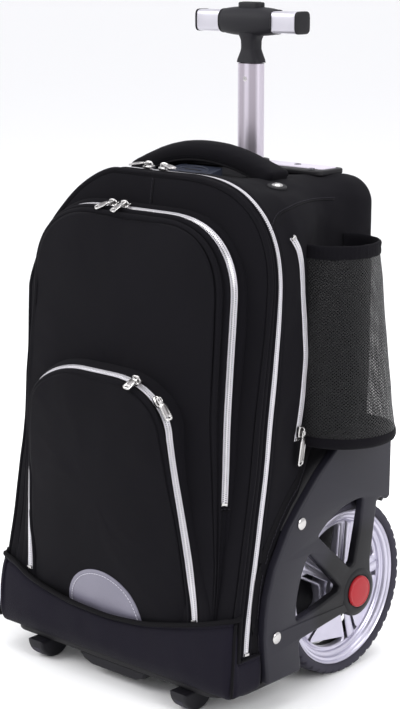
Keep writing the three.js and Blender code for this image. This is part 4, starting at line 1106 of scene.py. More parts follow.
def guard(side, word):
    def place(u, v, up):
        # the plate is slightly dished: its rim near the wheel stands a little lower
        out = math.hypot(u - wheelCentre[0], v - wheelCentre[1])
        dish = 1.2 * math.exp(-((out - 88) / 9) ** 2) if up > guardLook["thick"] / 2 and out > 70 else 0
        return Vector((side * (guardLook["plane"] - guardLook["thick"] + up - dish), u, v))

    cover = plate("guardPlate", guardOutlines(), guardLook["thick"], guardLook["bevel"], place, guardPlastic, 4)
    boss = turned("guardBoss", [(-9, 24.6), (-9, 6), (-0.4, 6), (-0.4, 16.2), (0.7, 16.6), (0.9, 19), (0.2, 22),
        (-1.2, 24), (-3, 24.7)], 64, (guardLook["plane"] - 0.1, *wheelCentre), guardPlastic)
    if side < 0:
        for v in boss.data.vertices:
            v.co.x = -v.co.x
        boss.data.flip_normals()
    # arch over the wheel, with its legs down in front, and the wall behind the wheel
    arch = [(-141.3, 30)] + [(y, z) for y, z in arcPoints(wheelCentre, 93, 180, 60, 40)] + [(-0.2, 163)]
    rows = [[Vector((side * x, y, z)) for y, z in arch] for x in (guardLook["inner"], 110, 120, 130, 140, 152.4)]
    liner = thicken(gridPiece("guardLiner", rows, housingPlastic, closed=False), 3)
    wall = [(-141, 30), *arcPoints(wheelCentre, 92.6, 180, 62, 40), (-0.2, 160), (-0.2, 30)]
    back = plate("guardWall", [[Vector(p) for p in wall]], 3, 0.4,
        lambda u, v, up: Vector((side * (guardLook["inner"] + up), u, v)), housingPlastic, 1)
    ribs = []
    for angle in (95, 120, 145, 170, 200, 225, 250, 275, 310, 340):
        low, high = armPoint(angle, 22, 0), armPoint(angle, 88, 0)
        high = (min(high[0], -2), max(high[1], 34))
        path = [Vector((side * 105.2, *low)), Vector((side * 105.2, *high))]
        ribs.append(sweepPath("guardRib", smoothLine(path, 10), [(-1, -1.6), (1, -1.6), (0.8, 1.6), (-0.8, 1.6)],
            housingPlastic, Vector((side, 0, 0)), sharp=30))
    edge = [(-152, 168), (-133, 187.6), (-109, 210.6), (-86, 229.8), (-76, 234.4), (-5, 234.8), (-1.6, 231.5),
        (-1.4, 200), (-1.4, 165)]
    edge = smoothLine([Vector((0, y, z)) for y, z in edge], 6)
    rows = [[Vector((side * x, p.y, p.z)) for p in edge] for x in (112, 125, 140, 153)]
    shelf = thicken(gridPiece("guardShelf", rows, housingPlastic, closed=False), 2.4)
    finish(joined("guard" + word.title(), [cover, boss, liner, back, shelf] + ribs), "guard_" + word, "guard")


bothSides(guard)
print("wheel guards made")

tyreLook = {"middle": 128.6, "blocks": 46, "notch": 1.5}
rimLook = {"windows": 5, "first": 112, "outer": 60.5, "inner": 29, "disc": 63.5}  # degrees, and mm
tyreProfile = [(-15.2, 75.4), (-16.9, 76.6), (-17.9, 79), (-18, 81), (-17.2, 83), (-15.2, 84.3), (-12.5, 84.7),
    (-9, 84.8), (-8.6, 84.2), (-5, 84.2), (-4.6, 85), (4.6, 85), (5, 84.2), (8.6, 84.2), (9, 84.8), (12.5, 84.7),
    (15.2, 84.3), (17.2, 83), (18, 81), (17.9, 79), (16.9, 76.6), (15.2, 75.4)]


def tread(along, radius, turn):
    if radius < 80.5:
        return 0
    shift = 0.5 if along > 0 else 0.0
    phase = (turn * tyreLook["blocks"] / (2 * math.pi) + shift + abs(along) * 0.012) % 1
    slot = within((0.16 - abs(phase - 0.5)) / 0.05)
    if abs(along) > 8.9:
        return tyreLook["notch"] * slot
    return 0.7 * slot if abs(along) < 4.7 else 0


def wheel(side, word):
    middle = tyreLook["middle"] * side
    tyre = turned("tyre" + word.title(), [(side * a, r) for a, r in tyreProfile],
        tyreLook["blocks"] * 12, (middle, *wheelCentre), tyreRubber, 40, tread)
    finish(tyre, "tyre_" + word, "tyre", "wheel_" + word)
    ring = [(15.2, 75.2), (15.6, 74.2), (14.6, 73), (13.0, 72.4), (12.4, 71.2), (12.4, 70.2), (11.4, 69.4),
        (9.2, 69.0), (8.6, 68.2), (8.5, 66.2), (7.6, 65.2), (5.6, 64.6), (5.0, 62), (-3.0, 61.4), (-9, 62.6),
        (-14.8, 66), (-15.2, 75.2)]
    barrel = turned("rimRing", [(side * a, r) for a, r in ring[:-1]], 120, (middle, *wheelCentre), rimPaint, 30)
    outlines = [[Vector(p) for p in arcPoints((0, 0), rimLook["disc"], 0, 357, 119)]]
    apart = 360 / rimLook["windows"]
    for k in range(rimLook["windows"]):
        aim = rimLook["first"] + apart * k
        arc = arcPoints((0, 0), rimLook["outer"], aim - 25, aim + 25, 8)
        corners = [(*p, 7 if i in (0, 8) else 0) for i, p in enumerate(arc)]
        corners += [(*p, 6) for p in arcPoints((0, 0), rimLook["inner"], aim + 17, aim - 17, 1)]
        outlines.append(rounded(corners))

    def place(u, v, up):
        out = math.hypot(u, v)
        dish = 3.5 * math.cos(min(out / 63, 1) * math.pi) * 0.5 if up > 4 else 0
        return Vector((middle + side * (up - 1.5 + dish), wheelCentre[0] + u, wheelCentre[1] + v))

    spokes = plate("rimSpokes", outlines, 10, 2.2, place, rimPaint, 3)
    hub = turned("rimHub", [(side * a, r) for a, r in [(-15, 17), (-15, 6.4), (16.2, 6.4), (16.4, 13), (15.6, 15),
        (12, 17.5), (10.6, 21.5), (8.4, 22.6), (2, 22.6), (2, 17)]], 64, (middle, *wheelCentre), rimPaint, 30)
    web = turned("rimWeb", [(side * a, r) for a, r in [(-13, 16.5), (-13, 54), (-11.6, 55), (-10.5, 54),
        (-10.5, 16.5)]], 90, (middle, *wheelCentre), housingPlastic, 30)
    liner = turned("rimLiner", [(side * a, r) for a, r in [(-14.9, 65.0), (-9, 61.6), (-3, 60.4), (-1, 60.4),
        (-1, 61.8), (-3, 62), (-9, 63.2), (-14.9, 66.4)]], 120, (middle, *wheelCentre), housingPlastic, 30)
    parts = [barrel, spokes, hub, web, liner]
    for k in range(rimLook["windows"]):  # a raised rib down the middle of each spoke
        turn = math.radians(rimLook["first"] + apart * (k + 0.5))
        path = [Vector((middle + side * x, wheelCentre[0] + r * math.cos(turn), wheelCentre[1]
            + r * math.sin(turn))) for r, x in ((20, 10.2), (34, 9.2), (48, 7.6), (62, 6.6))]
        parts.append(sweepPath("rimRib", smoothLine(path, 3), ovalSection(9, 3.2, 14), rimPaint,
            Vector((side, 0, 0)), taper=lambda s: 0.7 + 0.5 * s))
    rim = joined("rim" + word.title(), parts)
    finish(rim, "rim_" + word, "rim", "wheel_" + word)
    cap = turned("hubCap" + word.title(), [(side * a, r) for a, r in [(0.2, 15), (1.6, 15), (2.4, 14.6),
        (2.8, 13.8), (2.5, 13.0), (2.6, 12.4), (3.0, 10), (3.2, 6), (3.25, 1.5)]], 64,
        (side * 161.1, *wheelCentre), capPlastic, 40, closed=False)
    finish(cap, "hub_cap_" + word, "red_cap")
    for place, (y, z) in (("upper", (-134.1, 172)), ("lower", (-167.9, 72.7))):
        rivet = turned("guardRivet" + place.title() + word.title(), [(side * a, r) for a, r in [(0, 5.6),
            (0.7, 5.6), (1.2, 5.0), (1.7, 3.8), (1.95, 2.2), (2.0, 0.6)]], 32, (side * 161.1, y, z), nickel, 40,
            closed=False)
        finish(rivet, "guard_rivet_" + place + "_" + word, "nickel")
    paintNode("axle_" + word, darkSteel)


bothSides(wheel)
print("wheels made")


# Mesh of the bottle pockets: threads cross in diamonds over open holes
def openMesh():
    made = Finish("pocket mesh", Sheen_Weight=0.05, Specular_IOR_Level=0.25, Roughness=0.6)
    along, up, _ = made.axes("UV")
    lean = [((along * (math.pi / 0.0034)) + (up * (turn * math.pi / 0.0030))).sine().size() for turn in (1, -1)]
    hole = (lean[0] > 0.50) * (lean[1] > 0.50)
    nearest = lean[0].math("MINIMUM", lean[0], lean[1])
    fuzz = made.grain(1500.0, 1.0)
    thread = (1 - nearest * 1.5).clamped(0.0, 1.0)
    made.feed("Base Color", made.blend((thread * 0.8 + (fuzz - 0.5) * 0.4).clamped(0.0, 1.0), linear(8, 8, 9),
        linear(30, 30, 32)))
    made.feed("Alpha", 1 - hole * 0.5)
    made.relief(thread, 0.8, 0.0006)
    return made.material


def setWeave(piece, columns):  # texture coordinates: metres round and metres up
    layer = piece.data.uv_layers.new(name="weave")
    for loop in piece.data.loops:
        layer.data[loop.index].uv = columns(toBag(piece.data.vertices[loop.vertex_index].co))


pocketMesh = openMesh()
pocketLook = {"centre": 150, "low": 237.5, "top": 423, "hem": 12, "from": -121, "to": 104}


def pocketPoint(side, turn, z, grow=0.0):
    share = (z - pocketLook["low"]) / (pocketLook["top"] - pocketLook["low"])
    reach = 49.5 - 13 * share + grow
    deep = 51.5 - 13 * share + grow
    fold = 0.9 * math.sin(turn * 7 + z * 0.012) * math.sin(math.pi * within(share)) ** 0.7
    fold += 0.8 * noise.noise(Vector((turn * 2.2, z / 34, side * 3.0)))
    c, s = math.cos(turn), math.sin(turn)
    return Vector((side * (pocketLook["centre"] + (reach + fold) * c), -64 - 11 * share - (deep + fold) * s, z))


def bottlePocket(side, word):
    turns = [math.radians(mix(pocketLook["from"], pocketLook["to"], k / 96)) for k in range(97)]
    top = pocketLook["top"] - pocketLook["hem"]
    rows = [[pocketPoint(side, t, mix(pocketLook["low"] + 8, top + 2, k / 44)) for t in turns]
        for k in range(45)]
    net = gridPiece("bottlePocketNet", rows, pocketMesh, closed=False)
    middle = Vector((side * 150, -70, 0))

    def unrolled(p):
        away = p - middle
        return (math.atan2(-away.y, side * away.x) * 0.043, p.z / 1000)

    setWeave(net, unrolled)
    rows = []
    for z, grow in ((237.6, -13), (237.4, -7), (237.8, -3), (239.2, -0.9), (241.5, 0.3), (244.5, 0.7),
            (247, 0.6), (248.2, 0.2), (248.3, -0.8)):
        rows.append([pocketPoint(side, t, z, grow) for t in turns])
    rows.insert(0, [Vector((side * mix(150, abs(p.x), 0.4), mix(-64, p.y, 0.4), 237.8)) for p in rows[0]])
    rows.insert(0, [Vector((side * mix(150, abs(p.x), 0.05), mix(-64, p.y, 0.05), 238)) for p in rows[1]])
    foot = thicken(gridPiece("bottlePocketFoot", rows, bodyCloth, closed=False), 0.9)
    pocket = joined("bottlePocket" + word.title(), [net, foot])
    finish(pocket, "bottle_pocket_" + word, "mesh")
    section = [(-1.5, -5.8), (-1.6, 0), (-1.4, 4.6), (-0.4, 5.9), (0.9, 5.6), (1.5, 4.0), (1.1, 0.2), (1.5, -3.6),
        (1.3, -5.9), (0, -6.6)]
    rows = []
    for t in turns:
        gather = 0.35 * math.sin(t * 60)
        out = Vector((side * math.cos(t), -math.sin(t), 0))
        base = pocketPoint(side, t, pocketLook["top"] - 6.2)
        rows.append([base + out * (s + (gather if s > 0 else 0)) + Vector((0, 0, u)) for s, u in section])
    hem = gridPiece("pocketHem" + word.title(), rows, bodyCloth, caps=(True, True), sharp=60)
    ruffle(hem, [(0.5, 9, 41)])
    finish(hem, "pocket_hem_" + word)


bothSides(bottlePocket)
print("bottle pockets made")

# Side zips lie on the body in front of each bottle pocket: (depth, height)
sideRoute = [(137, 432), (134, 426), (128.5, 414), (125, 401), (122.5, 381), (121, 358), (119.5, 338), (118.5, 317),
    (120, 296), (123.5, 274), (127, 254), (127.5, 246)]
onBody = surfaceOf(bpy.data.objects["mainBody"])


def sideZip(side, word):
    route = smoothLine([Vector((0, -d, z)) for d, z in sideRoute], 3)
    points, outs = [], []
    for p in route:
        met = onBody(Vector((side * 260, p.y, p.z)), Vector((-side, 0, 0)))
        out = (met[1] + Vector((side * 2.0, 0, 0))).normalized()
        points.append(met[0] + out * 0.3)
        outs.append(out)
    frames = framesFrom(points, outs)
    zipRun("sideZip" + word.title(), frames, "zip_side_" + word, 7.4)
    return frames


# Zip sliders: a body on the teeth, a bridge over it and a pull with a framed end
pullLook = {"wide": 7.6, "thick": 1.6}
pullInlay = metal("pull inlay", linear(140, 137, 137), 0.35)


def slider(name, node, seat, out, along, pull, length, tilt=0.12):
    along = (along - out * along.dot(out)).normalized()
    side = along.cross(out).normalized()

    def at(u, v, up):  # u across, v along, up away from the cloth
        return seat + side * u + along * v + out * up

    shape = rounded([(-4.4, -5.2, 1.8), (4.4, -5.2, 1.8), (4.0, 0.5, 1.5), (2.9, 5.6, 1.8), (-2.9, 5.6, 1.8),
        (-4.0, 0.5, 1.5)])
    body = plate("sliderBody", [shape], 3.4, 0.9, lambda u, v, up: at(u, v, up + 0.7), nickel, 2)
    arch = [at(0, v, up) for v, up in ((4.2, 3.6), (4.0, 5.6), (2.4, 6.8), (0, 7.1), (-2.4, 6.8), (-4.0, 5.6),
        (-4.2, 3.6))]
    bridge = sweepPath("sliderBridge", smoothLine(arch, 0.7), ovalSection(2.6, 1.3, 8), nickel)
    down = (pull - out * pull.dot(out)).normalized()
    across = down.cross(out).normalized()
    lean = (down - out * tilt).normalized()
    raised = across.cross(lean).normalized() * (1 if across.cross(lean).dot(out) > 0 else -1)
    base = seat + out * 5.9

    def onPull(u, v, up):
        return base + across * u + lean * v + raised * up

    wide = pullLook["wide"]
    ring = rounded([(-2.6, -2.6, 2.4), (2.6, -2.6, 2.4), (2.9, 3.2, 2.0), (1.6, 5.4, 1.5), (-1.6, 5.4, 1.5),
        (-2.9, 3.2, 2.0)])
    hole = rounded([(-1.3, -1.4, 1.2), (1.3, -1.4, 1.2), (1.4, 2.4, 1.2), (-1.4, 2.4, 1.2)])
    loop = plate("sliderLoop", [ring, hole], 1.3, 0.5, onPull, nickel, 2)
    frameShape = rounded([(-wide * 0.34, 4.6, 1.4), (wide * 0.34, 4.6, 1.4), (wide / 2, 8, 2), (wide / 2 + 0.3,
        length - 1, 2.6), (-wide / 2 - 0.3, length - 1, 2.6), (-wide / 2, 8, 2)])
    slot = rounded([(-wide * 0.2, length - 4.6, 0.8), (wide * 0.2, length - 4.6, 0.8), (wide * 0.24,
        length - 3.0, 0.7), (-wide * 0.24, length - 3.0, 0.7)])
    edge = plate("pullFrame", [frameShape, slot], pullLook["thick"], 0.5, onPull, nickel, 2)
    inset = rounded([(-wide * 0.2, 6.8, 0.8), (wide * 0.2, 6.8, 0.8), (wide * 0.3, length - 6, 0.8),
        (-wide * 0.3, length - 6, 0.8)])
    panel = plate("pullPanel", [inset], 0.8, 0.3, lambda u, v, up: onPull(u, v, up + pullLook["thick"] - 0.35),
        pullInlay, 1)
    finish(joined(name, [body, bridge, loop, edge, panel]), node, "nickel")


def frameAt(frames, x):  # the frame of a zip where it crosses a place across the bag, at the top
    return min(frames, key=lambda f: abs(f[0].x - x) - f[0].z * 0.01)


for name, node, frames, x, pull, length in (
    ("sliderMainA", "slider_main_a", mainZipFrames, -11, (-1, -0.5, -0.3), 20),
    ("sliderMainB", "slider_main_b", mainZipFrames, 9, (1, -0.35, -0.3), 20),
    ("sliderFrontA", "slider_front_a", frontZipFrames, -27, (-1, -0.9, -0.5), 19),
    ("sliderFrontB", "slider_front_b", frontZipFrames, -10, (-0.25, -1, -0.6), 17),
    ("sliderLowerA", "slider_lower_a", lowerZipFrames, 45, (-0.1, -0.6, -1), 19),
    ("sliderLowerB", "slider_lower_b", lowerZipFrames, 72, (0.42, 0.0, -1), 23)):
    seat, out, along = frameAt(frames, x)
    slider(name, node, seat + out * 0.9, out, along, Vector(pull), length)


def sideSlider(side, word):
    frames = sideZip(side, word)
    seat, out, along = frames[-4]
    slider("sliderSide" + word.title(), "slider_side_" + word, seat + out * 0.9, out, along,
        Vector((0, 0, -1)), 33, 0.05)


bothSides(sideSlider)
print("zip sliders made")

# What stands on the floor: base plate, two feet and a skid
def footing():
    shape = rounded([(-146, -139, 4), (-146, -196, 20), (-128, -219, 18), (128, -219, 18), (146, -196, 20),
        (146, -139, 4), (95, -128, 4), (95, -8, 6), (-95, -8, 6), (-95, -128, 4)])
    base = plate("basePlateSheet", [shape], 6, 1.6, lambda u, v, up: Vector((u, v, 20.4 + up)), housingPlastic, 3)
    ribs = []
    for x in (-70, -35, 0, 35, 70):
        ribs.append(sweepPath("rib", [Vector((x, y, 20.2)) for y in (-188, -150, -100, -60, -16)],
            [(-1.4, -1.4), (1.4, -1.4), (1.0, 1.0), (-1.0, 1.0)], housingPlastic, Vector((0, 0, -1)), sharp=30))
    for y in (-180, -110, -50):
        ribs.append(sweepPath("rib", [Vector((x, y, 20.2)) for x in (-84, -40, 0, 40, 84)],
            [(-1.4, -1.4), (1.4, -1.4), (1.0, 1.0), (-1.0, 1.0)], housingPlastic, Vector((0, 0, -1)), sharp=30))
    screws = [turned("screw", [(0, 4), (0.8, 4), (1.4, 3.2), (1.6, 1)], 20, (0, 0, 0), darkSteel, closed=False)
        for _ in range(4)]
    for screw, (x, y) in zip(screws, ((-80, -32), (80, -32), (-125, -165), (125, -165))):
        for v in screw.data.vertices:
            p = toBag(v.co)
            v.co = toFrame(Vector((x + p.y, y + p.z, 20.4 - p.x)))
    finish(joined("basePlate", [base] + ribs + screws), "base_plate", "guard")
    for side, word in sides:
        outline = [(*p, 0) for p in arcPoints((-209, 20.1), 19.9, 180, 360, 30)]
        block = plate("foot", [rounded(outline)], 20, 2.6, lambda u, v, up: Vector((side * 95 - 10 + up, u, v)),
            gripRubber, 4)
        sole = [Vector((side * 95, y, z)) for y, z in arcPoints((-209, 20.1), 19.6, 205, 335, 22)]
        grip = sweepPath("footSole", sole, [(-5.5, -0.8), (-4.5, 0.5), (4.5, 0.5), (5.5, -0.8)], tyreRubber,
            [(p - Vector((side * 95, -209, 20.1))).normalized() for p in sole], sharp=30)
        finish(joined("foot" + word.title(), [block, grip]), "foot_" + word, "grip_rubber")
    outline = rounded([(-45.5, 20.1, 1), (-40, 13, 7), (-29, 9.2, 7), (29, 9.2, 7), (40, 13, 7), (45.5, 20.1, 1)])
    runner = plate("skidBar", [outline], 15, 2.4, lambda u, v, up: Vector((u, -216.5 + up, v)), gripRubber, 4)
    finish(runner, "skid", "grip_rubber")


footing()
print("base and feet made")

# Pull handle: rubber grip between two bright sleeves, on a tube with a fluted front
handleMiddle = Vector((0, handleLook["ahead"], handleLook["bar"]))


def flutedTube():
    made = Finish("fluted tube with painted flute shading", Metallic=0.75, Specular_IOR_Level=0.5)
    x, _, _ = made.axes()
    # Flute ridges: real bump relief, also used as painted highlight and painted shade bands in the colour
    fluteRidgesAndShade = (x * (2 * math.pi / 0.0125) + 0.6).sine()
    fine = made.grain(900.0, 1.0)
    # Base colour: painted highlight bands on the flute ridges and painted shade bands in the grooves, with fine
    # random grain
    made.feed("Base Color", made.blend(((fluteRidgesAndShade + 0.3) * 0.9 + fine * 0.2).clamped(0.0, 1.0),
        linear(166, 158, 168), linear(198, 191, 202)))
    made.feed("Roughness", (fine * 0.1 + 0.3).clamped(0.1, 1.0))
    made.relief(fluteRidgesAndShade, 0.5, 0.0008)
    return made.material


tubeFluted = flutedTube()


def roundedSquare(wide, high, power=4.0, steps=40):
    points = []
    for k in range(steps):
        turn = 2 * math.pi * k / steps
        c, s = math.cos(turn), math.sin(turn)
        points.append((wide / 2 * math.copysign(abs(c) ** (2 / power), c), high / 2 * math.copysign(abs(s)
            ** (2 / power), s)))
    return points


def crossBar(name, stations, material, power=4.0, sharp=35):  # stations are (x, width, height) along the bar
    rows = [[handleMiddle + Vector((x, y, z)) for y, z in roundedSquare(w, h, power)] for x, w, h in stations]
    return gridPiece(name, rows, material, caps=(True, True), sharp=sharp)


def pullHandle():
    barrel = [(33, 19.5), (32.9, 21.4), (32.2, 22.4), (30.5, 23.4), (26, 24.9), (20, 26.2), (12, 27.2), (4, 27.6)]
    stations = [(-x, w, w) for x, w in barrel] + [(x, w, w) for x, w in reversed(barrel)]
    grip = crossBar("gripBarrel", stations, gripRubber, 2.4)
    waist = curveThrough([(571, 14.2), (574, 13.5), (579, 11.2), (585, 9.2), (591, 9.3), (597, 11.6), (606, 19)])
    depth = curveThrough([(571, 9.7), (579, 8.6), (585, 7.9), (592, 8.2), (600, 10), (606, 11)])
    rows = []
    for k in range(26):
        z = mix(571.4, 606, k / 25)
        rows.append([Vector((x * waist(z) * 2, handleLook["ahead"] + y * depth(z) * 2, z))
            for x, y in roundedSquare(1, 1, 3.2)])
    neck = gridPiece("gripNeck", rows, gripRubber, caps=(True, True), sharp=40)
    ridges = []
    for x in (-32.4, 32.4):
        ridges.append(crossBar("gripLip", [(x - 0.9, 21.5, 21.5), (x - 0.5, 23.2, 23.2), (x + 0.5, 23.2, 23.2),
            (x + 0.9, 21.5, 21.5)], housingPlastic, 2.6, 60))
    finish(joined("pullGrip", [grip, neck] + ridges), "grip", "grip_rubber", "upper_stage")
    button = []
    shape = rounded([(-14.4, -6.2, 6.1), (14.4, -6.2, 6.1), (14.4, 6.2, 6.1), (-14.4, 6.2, 6.1)])
    button.append(plate("buttonTop", [shape], 9, 1.6, lambda u, v, up: Vector((u, handleLook["ahead"] + v,
        618.9 + up)), housingPlastic, 4))
    ring = rounded([(-10.5, -3.6, 3.4), (10.5, -3.6, 3.4), (10.5, 3.6, 3.4), (-10.5, 3.6, 3.4)])
    inner = rounded([(-9.4, -2.6, 2.4), (9.4, -2.6, 2.4), (9.4, 2.6, 2.4), (-9.4, 2.6, 2.4)])
    button.append(plate("buttonMark", [ring, inner], 0.5, 0.2, lambda u, v, up: Vector((u,
        handleLook["ahead"] + v, 627.7 + up)), housingPlastic, 1))
    finish(joined("releaseButton", button), "release_button", "grip_rubber", "button")
    for side, word in sides:
        sleeve = crossBar("gripSleeve" + word.title(), [(side * x, w, w) for x, w in ((32.0, 20.4), (36.2, 20.6),
            (50, 20.6), (60.2, 20.6), (61.0, 20.2), (61.3, 19.0))], sleeveMetal, 5.0)
        finish(sleeve, "grip_sleeve_" + word, "steel", "upper_stage")
        end = crossBar("gripEnd" + word.title(), [(side * x, w, w) for x, w in ((61.4, 19.4), (61.5, 20.9),
            (61.9, 21.3), (62.7, 21.2), (63.5, 20.0), (63.9, 17.5), (64.0, 8.0))], housingPlastic, 5.0)
        finish(end, "grip_end_" + word, "grip_rubber", "upper_stage")


pullHandle()


def stageTube(name, node, wide, deep, low, high, material, body, extras=(), wall=1.5):
    rows = []
    for z, grow in ((low, -wall), (low, -0.3), (low + 0.4, 0), (high - 0.4, 0), (high, -0.3), (high, -wall),
            (low, -wall)):
        rows.append([Vector((x * (wide + 2 * grow), handleLook["ahead"] + y * (deep + 2 * grow), z))
            for x, y in roundedSquare(1, 1, 2.6, 56)])
    made = gridPiece(name, rows, material, sharp=35)
    return finish(joined(name, [made, *extras]), node, "tube", body)


def tubes():
    screw = turned("tubeScrew", [(-0.5, 2.6), (0.12, 2.4), (0.25, 1.6), (0.25, 0.8), (0, 0.7), (0, 0.01)], 16,
        (0, 0, 0), nickel, closed=False)
    for v in screw.data.vertices:
        p = toBag(v.co)
        v.co = toFrame(Vector((p.y, handleLook["ahead"] - 8.95 - p.x, 556 + p.z)))
    stageTube("innerTube", "inner_tube", 27, 18, 170.7, 570.7, tubeFluted, "upper_stage", [screw])
    collar = [[Vector((x * w, handleLook["ahead"] + y * d, z)) for x, y in roundedSquare(1, 1, 2.6, 56)]
        for z, w, d in ((478.6, 28.4, 19.4), (480.3, 28.4, 19.4), (480.3, 29.0, 20.0), (480.0, 30.8, 21.8),
            (478.6, 30.8, 21.8), (478.6, 28.4, 19.4))]
    ring = gridPiece("tubeCollar", collar, housingPlastic, sharp=30)
    stageTube("outerTube", "outer_tube", 30.8, 21.8, 52, 480, sleeveMetal, "lower_stage", [ring], 1.4)
    paintNode("handle_housing", darkSteel)


tubes()
plateTop = moulded("top plate", linear(190, 184, 196), 0.42, 900.0, 0.2)


def topPlate():
    def shape(grow):
        return rounded([(-104 + grow, -45 + grow, 8), (104 - grow, -45 + grow, 8), (104 - grow, -5 - grow, 8),
            (-104 + grow, -5 - grow, 8)])

    hole = [(x, handleLook["ahead"] + y) for x, y in roundedSquare(31.8, 22.8, 2.6, 48)]
    outerRim = [(x, handleLook["ahead"] + y) for x, y in roundedSquare(37.5, 28.5, 2.6, 48)]
    low = plate("plateRim", [shape(0), hole], 5.0, 1.4, lambda u, v, up: Vector((u, v, 472.3 + up)),
        housingPlastic, 3)
    strip = rounded([(-99, -33, 4), (98, -33, 4), (98, -10, 4), (-99, -10, 4)])
    top = plate("plateTop", [strip, hole], 2.2, 0.7, lambda u, v, up: Vector((u, v, 476.0 + up)), plateTop, 3)
    collar = plate("plateCollar", [outerRim, hole], 5.0, 1.0, lambda u, v, up: Vector((u, v, 475.0 + up)),
        housingPlastic, 3)
    bumps = []
    for x, y in ((-90, -39), (-60, -20), (-26, -39), (26, -39), (58, -20), (90, -39)):
        rows = [[Vector((x + r * math.cos(t / 10 * math.pi), y + r * math.sin(t / 10 * math.pi), 478.1 + up))
            for t in range(20)] for r, up in ((3.4, 0), (3.2, 0.5), (2.5, 0.85), (1.6, 0.95), (0.8, 0.5))]
        bumps.append(gridPiece("plateScrew", rows, darkSteel, caps=(True, True), sharp=40))
    finish(joined("topPlate", [low, top, collar] + bumps), "top_plate", "guard")


topPlate()
print("pull handle made")


# Padded pieces start a little slim and are blown up as cloth, held where they are sewn
swellLook = {"frames": 20, "quality": 5, "mass": 0.15, "stiff": 12, "bending": 0.4}


def swell(piece, voxel, pressure, cap, held, limit=None):
    material = piece.data.materials[0]
    remesh = piece.modifiers.new("even", "REMESH")
    remesh.mode = "VOXEL"
    remesh.voxel_size = voxel / 1000
    applied(piece)
    piece.data.materials.clear()
    piece.data.materials.append(material)
    start = [v.co.copy() for v in piece.data.vertices]
    group = piece.vertex_groups.new(name="sewn")
    for i, p in enumerate(start):
        share = held(toBag(p))
        if share > 0:
            group.add([i], min(share, 1), "REPLACE")
    cloth = piece.modifiers.new("blown", "CLOTH")
    cloth.settings.quality = swellLook["quality"]
    cloth.settings.mass = swellLook["mass"]
    cloth.settings.tension_stiffness = swellLook["stiff"]
    cloth.settings.compression_stiffness = swellLook["stiff"]
    cloth.settings.bending_stiffness = swellLook["bending"]
    cloth.settings.use_pressure = True
    cloth.settings.uniform_pressure_force = pressure
    cloth.settings.effector_weights.gravity = 0
    cloth.settings.vertex_group_mass = "sewn"
    cloth.collision_settings.use_collision = False
    cloth.point_cache.frame_start = 1
    cloth.point_cache.frame_end = swellLook["frames"]
    for step in range(1, swellLook["frames"] + 1):
        bpy.context.scene.frame_set(step)
    applied(piece)
    bpy.context.scene.frame_set(1)
    for v, p in zip(piece.data.vertices, start):
        move = v.co - p
        if move.length > cap / 1000:
            v.co = p + move * (cap / 1000 / move.length)
        if limit:
            v.co = toFrame(limit(toBag(v.co)))
    piece.vertex_groups.clear()
    finer = piece.modifiers.new("finer", "SUBSURF")
    finer.levels = 1
    finer.render_levels = 1
    applied(piece)
    for face in piece.data.polygons:
        face.use_smooth = True
    return piece


def spacerMesh():
    made = Finish("air mesh", Sheen_Weight=0.3, Specular_IOR_Level=0.25)
    x, _, z = made.axes()
    pitch = 2 * math.pi / 0.0042
    hole = ((x * pitch).sine() * (z * (pitch * 0.58)).sine()) > 0.42
    fuzz = made.grain(1400.0, 1.0)
    made.feed("Base Color", made.blend((hole * 0.8 + (fuzz - 0.5) * 0.4).clamped(0.0, 1.0), linear(47, 46, 50),
        linear(17, 17, 19)))
    made.feed("Roughness", (fuzz * 0.1 + 0.82).clamped(0.3, 1.0))
    made.relief(1 - hole, 0.7, 0.0008)
    return made.material


airMesh = spacerMesh()
padLook = {"half": [(52, 88), (60, 92), (130, 95), (205, 96), (232, 106), (254, 125), (300, 127), (395, 127),
    (420, 124), (446, 112)], "channels": [128, 206, 284, 362], "middle": 13, "face": 8.6}


def backPad():
    half = curveThrough(padLook["half"])

    def height(x, z):  # cushions between sewn channels
        edge = min(half(z) - abs(x), z - 52, 446 - z)
        lines = [abs(z - c) / 7 for c in padLook["channels"]] + [abs(abs(x) - padLook["middle"]) / 6]
        dip = min(min(lines), 1.0)
        return 1.2 + (padLook["face"] - 1.2) * min(max(edge, 0) / 9, 1) ** 0.5 * (0.32 + 0.68 * dip ** 0.6)

    rows = []
    for k in range(100):
        z = mix(52, 446, k / 99)
        w = half(z)
        front = [Vector((w * x, height(w * x, z), z)) for x in [mix(-1, 1, i / 70) for i in range(71)]]
        back = [Vector((w * x, 0.45, z)) for x in [mix(1, -1, i / 70) for i in range(71)]]
        rows.append(front + back)
    pad = gridPiece("backPad", rows, airMesh, caps=(True, True))

    def held(p):
        near = min(min(abs(p.z - c) for c in padLook["channels"]), abs(abs(p.x) - padLook["middle"]))
        rim = min(half(within(p.z, 52, 446)) - abs(p.x), p.z - 52, 446 - p.z)
        return 1.0 if p.y < 1.6 or near < 3 or rim < 4 else 0.0

    swell(pad, 4.5, 4, 5, held, lambda p: Vector((p.x, within(p.y, 0.4, 10.1), p.z)))
    line = [Vector((half(z), 0, z)) for z in [mix(54, 444, i / 40) for i in range(41)]]
    ring = line + [Vector((x, 0, 446)) for x in [mix(108, -108, i / 16) for i in range(17)]]
    ring += [Vector((-p.x, 0, p.z)) for p in reversed(line)]
    ring += [Vector((x, 0, 52)) for x in [mix(-86, 86, i / 12) for i in range(13)]]
    ring = smoothLine([Vector((p.x, 2.6, p.z)) for p in ring], 6)
    edge = sweepPath("padBinding", ring, ovalSection(5.2, 4.4, 10), pipingCloth, Vector((0, 1, 0)), closed=True)
    finish(joined("backPad", [pad, edge]), "back_pad")


backPad()
strapLook = {"route": [(38, 441), (42, 430), (46, 400), (56, 350), (68, 300), (76, 250), (78, 204)],
    "wide": 58, "thick": 7.5, "low": 10.8}


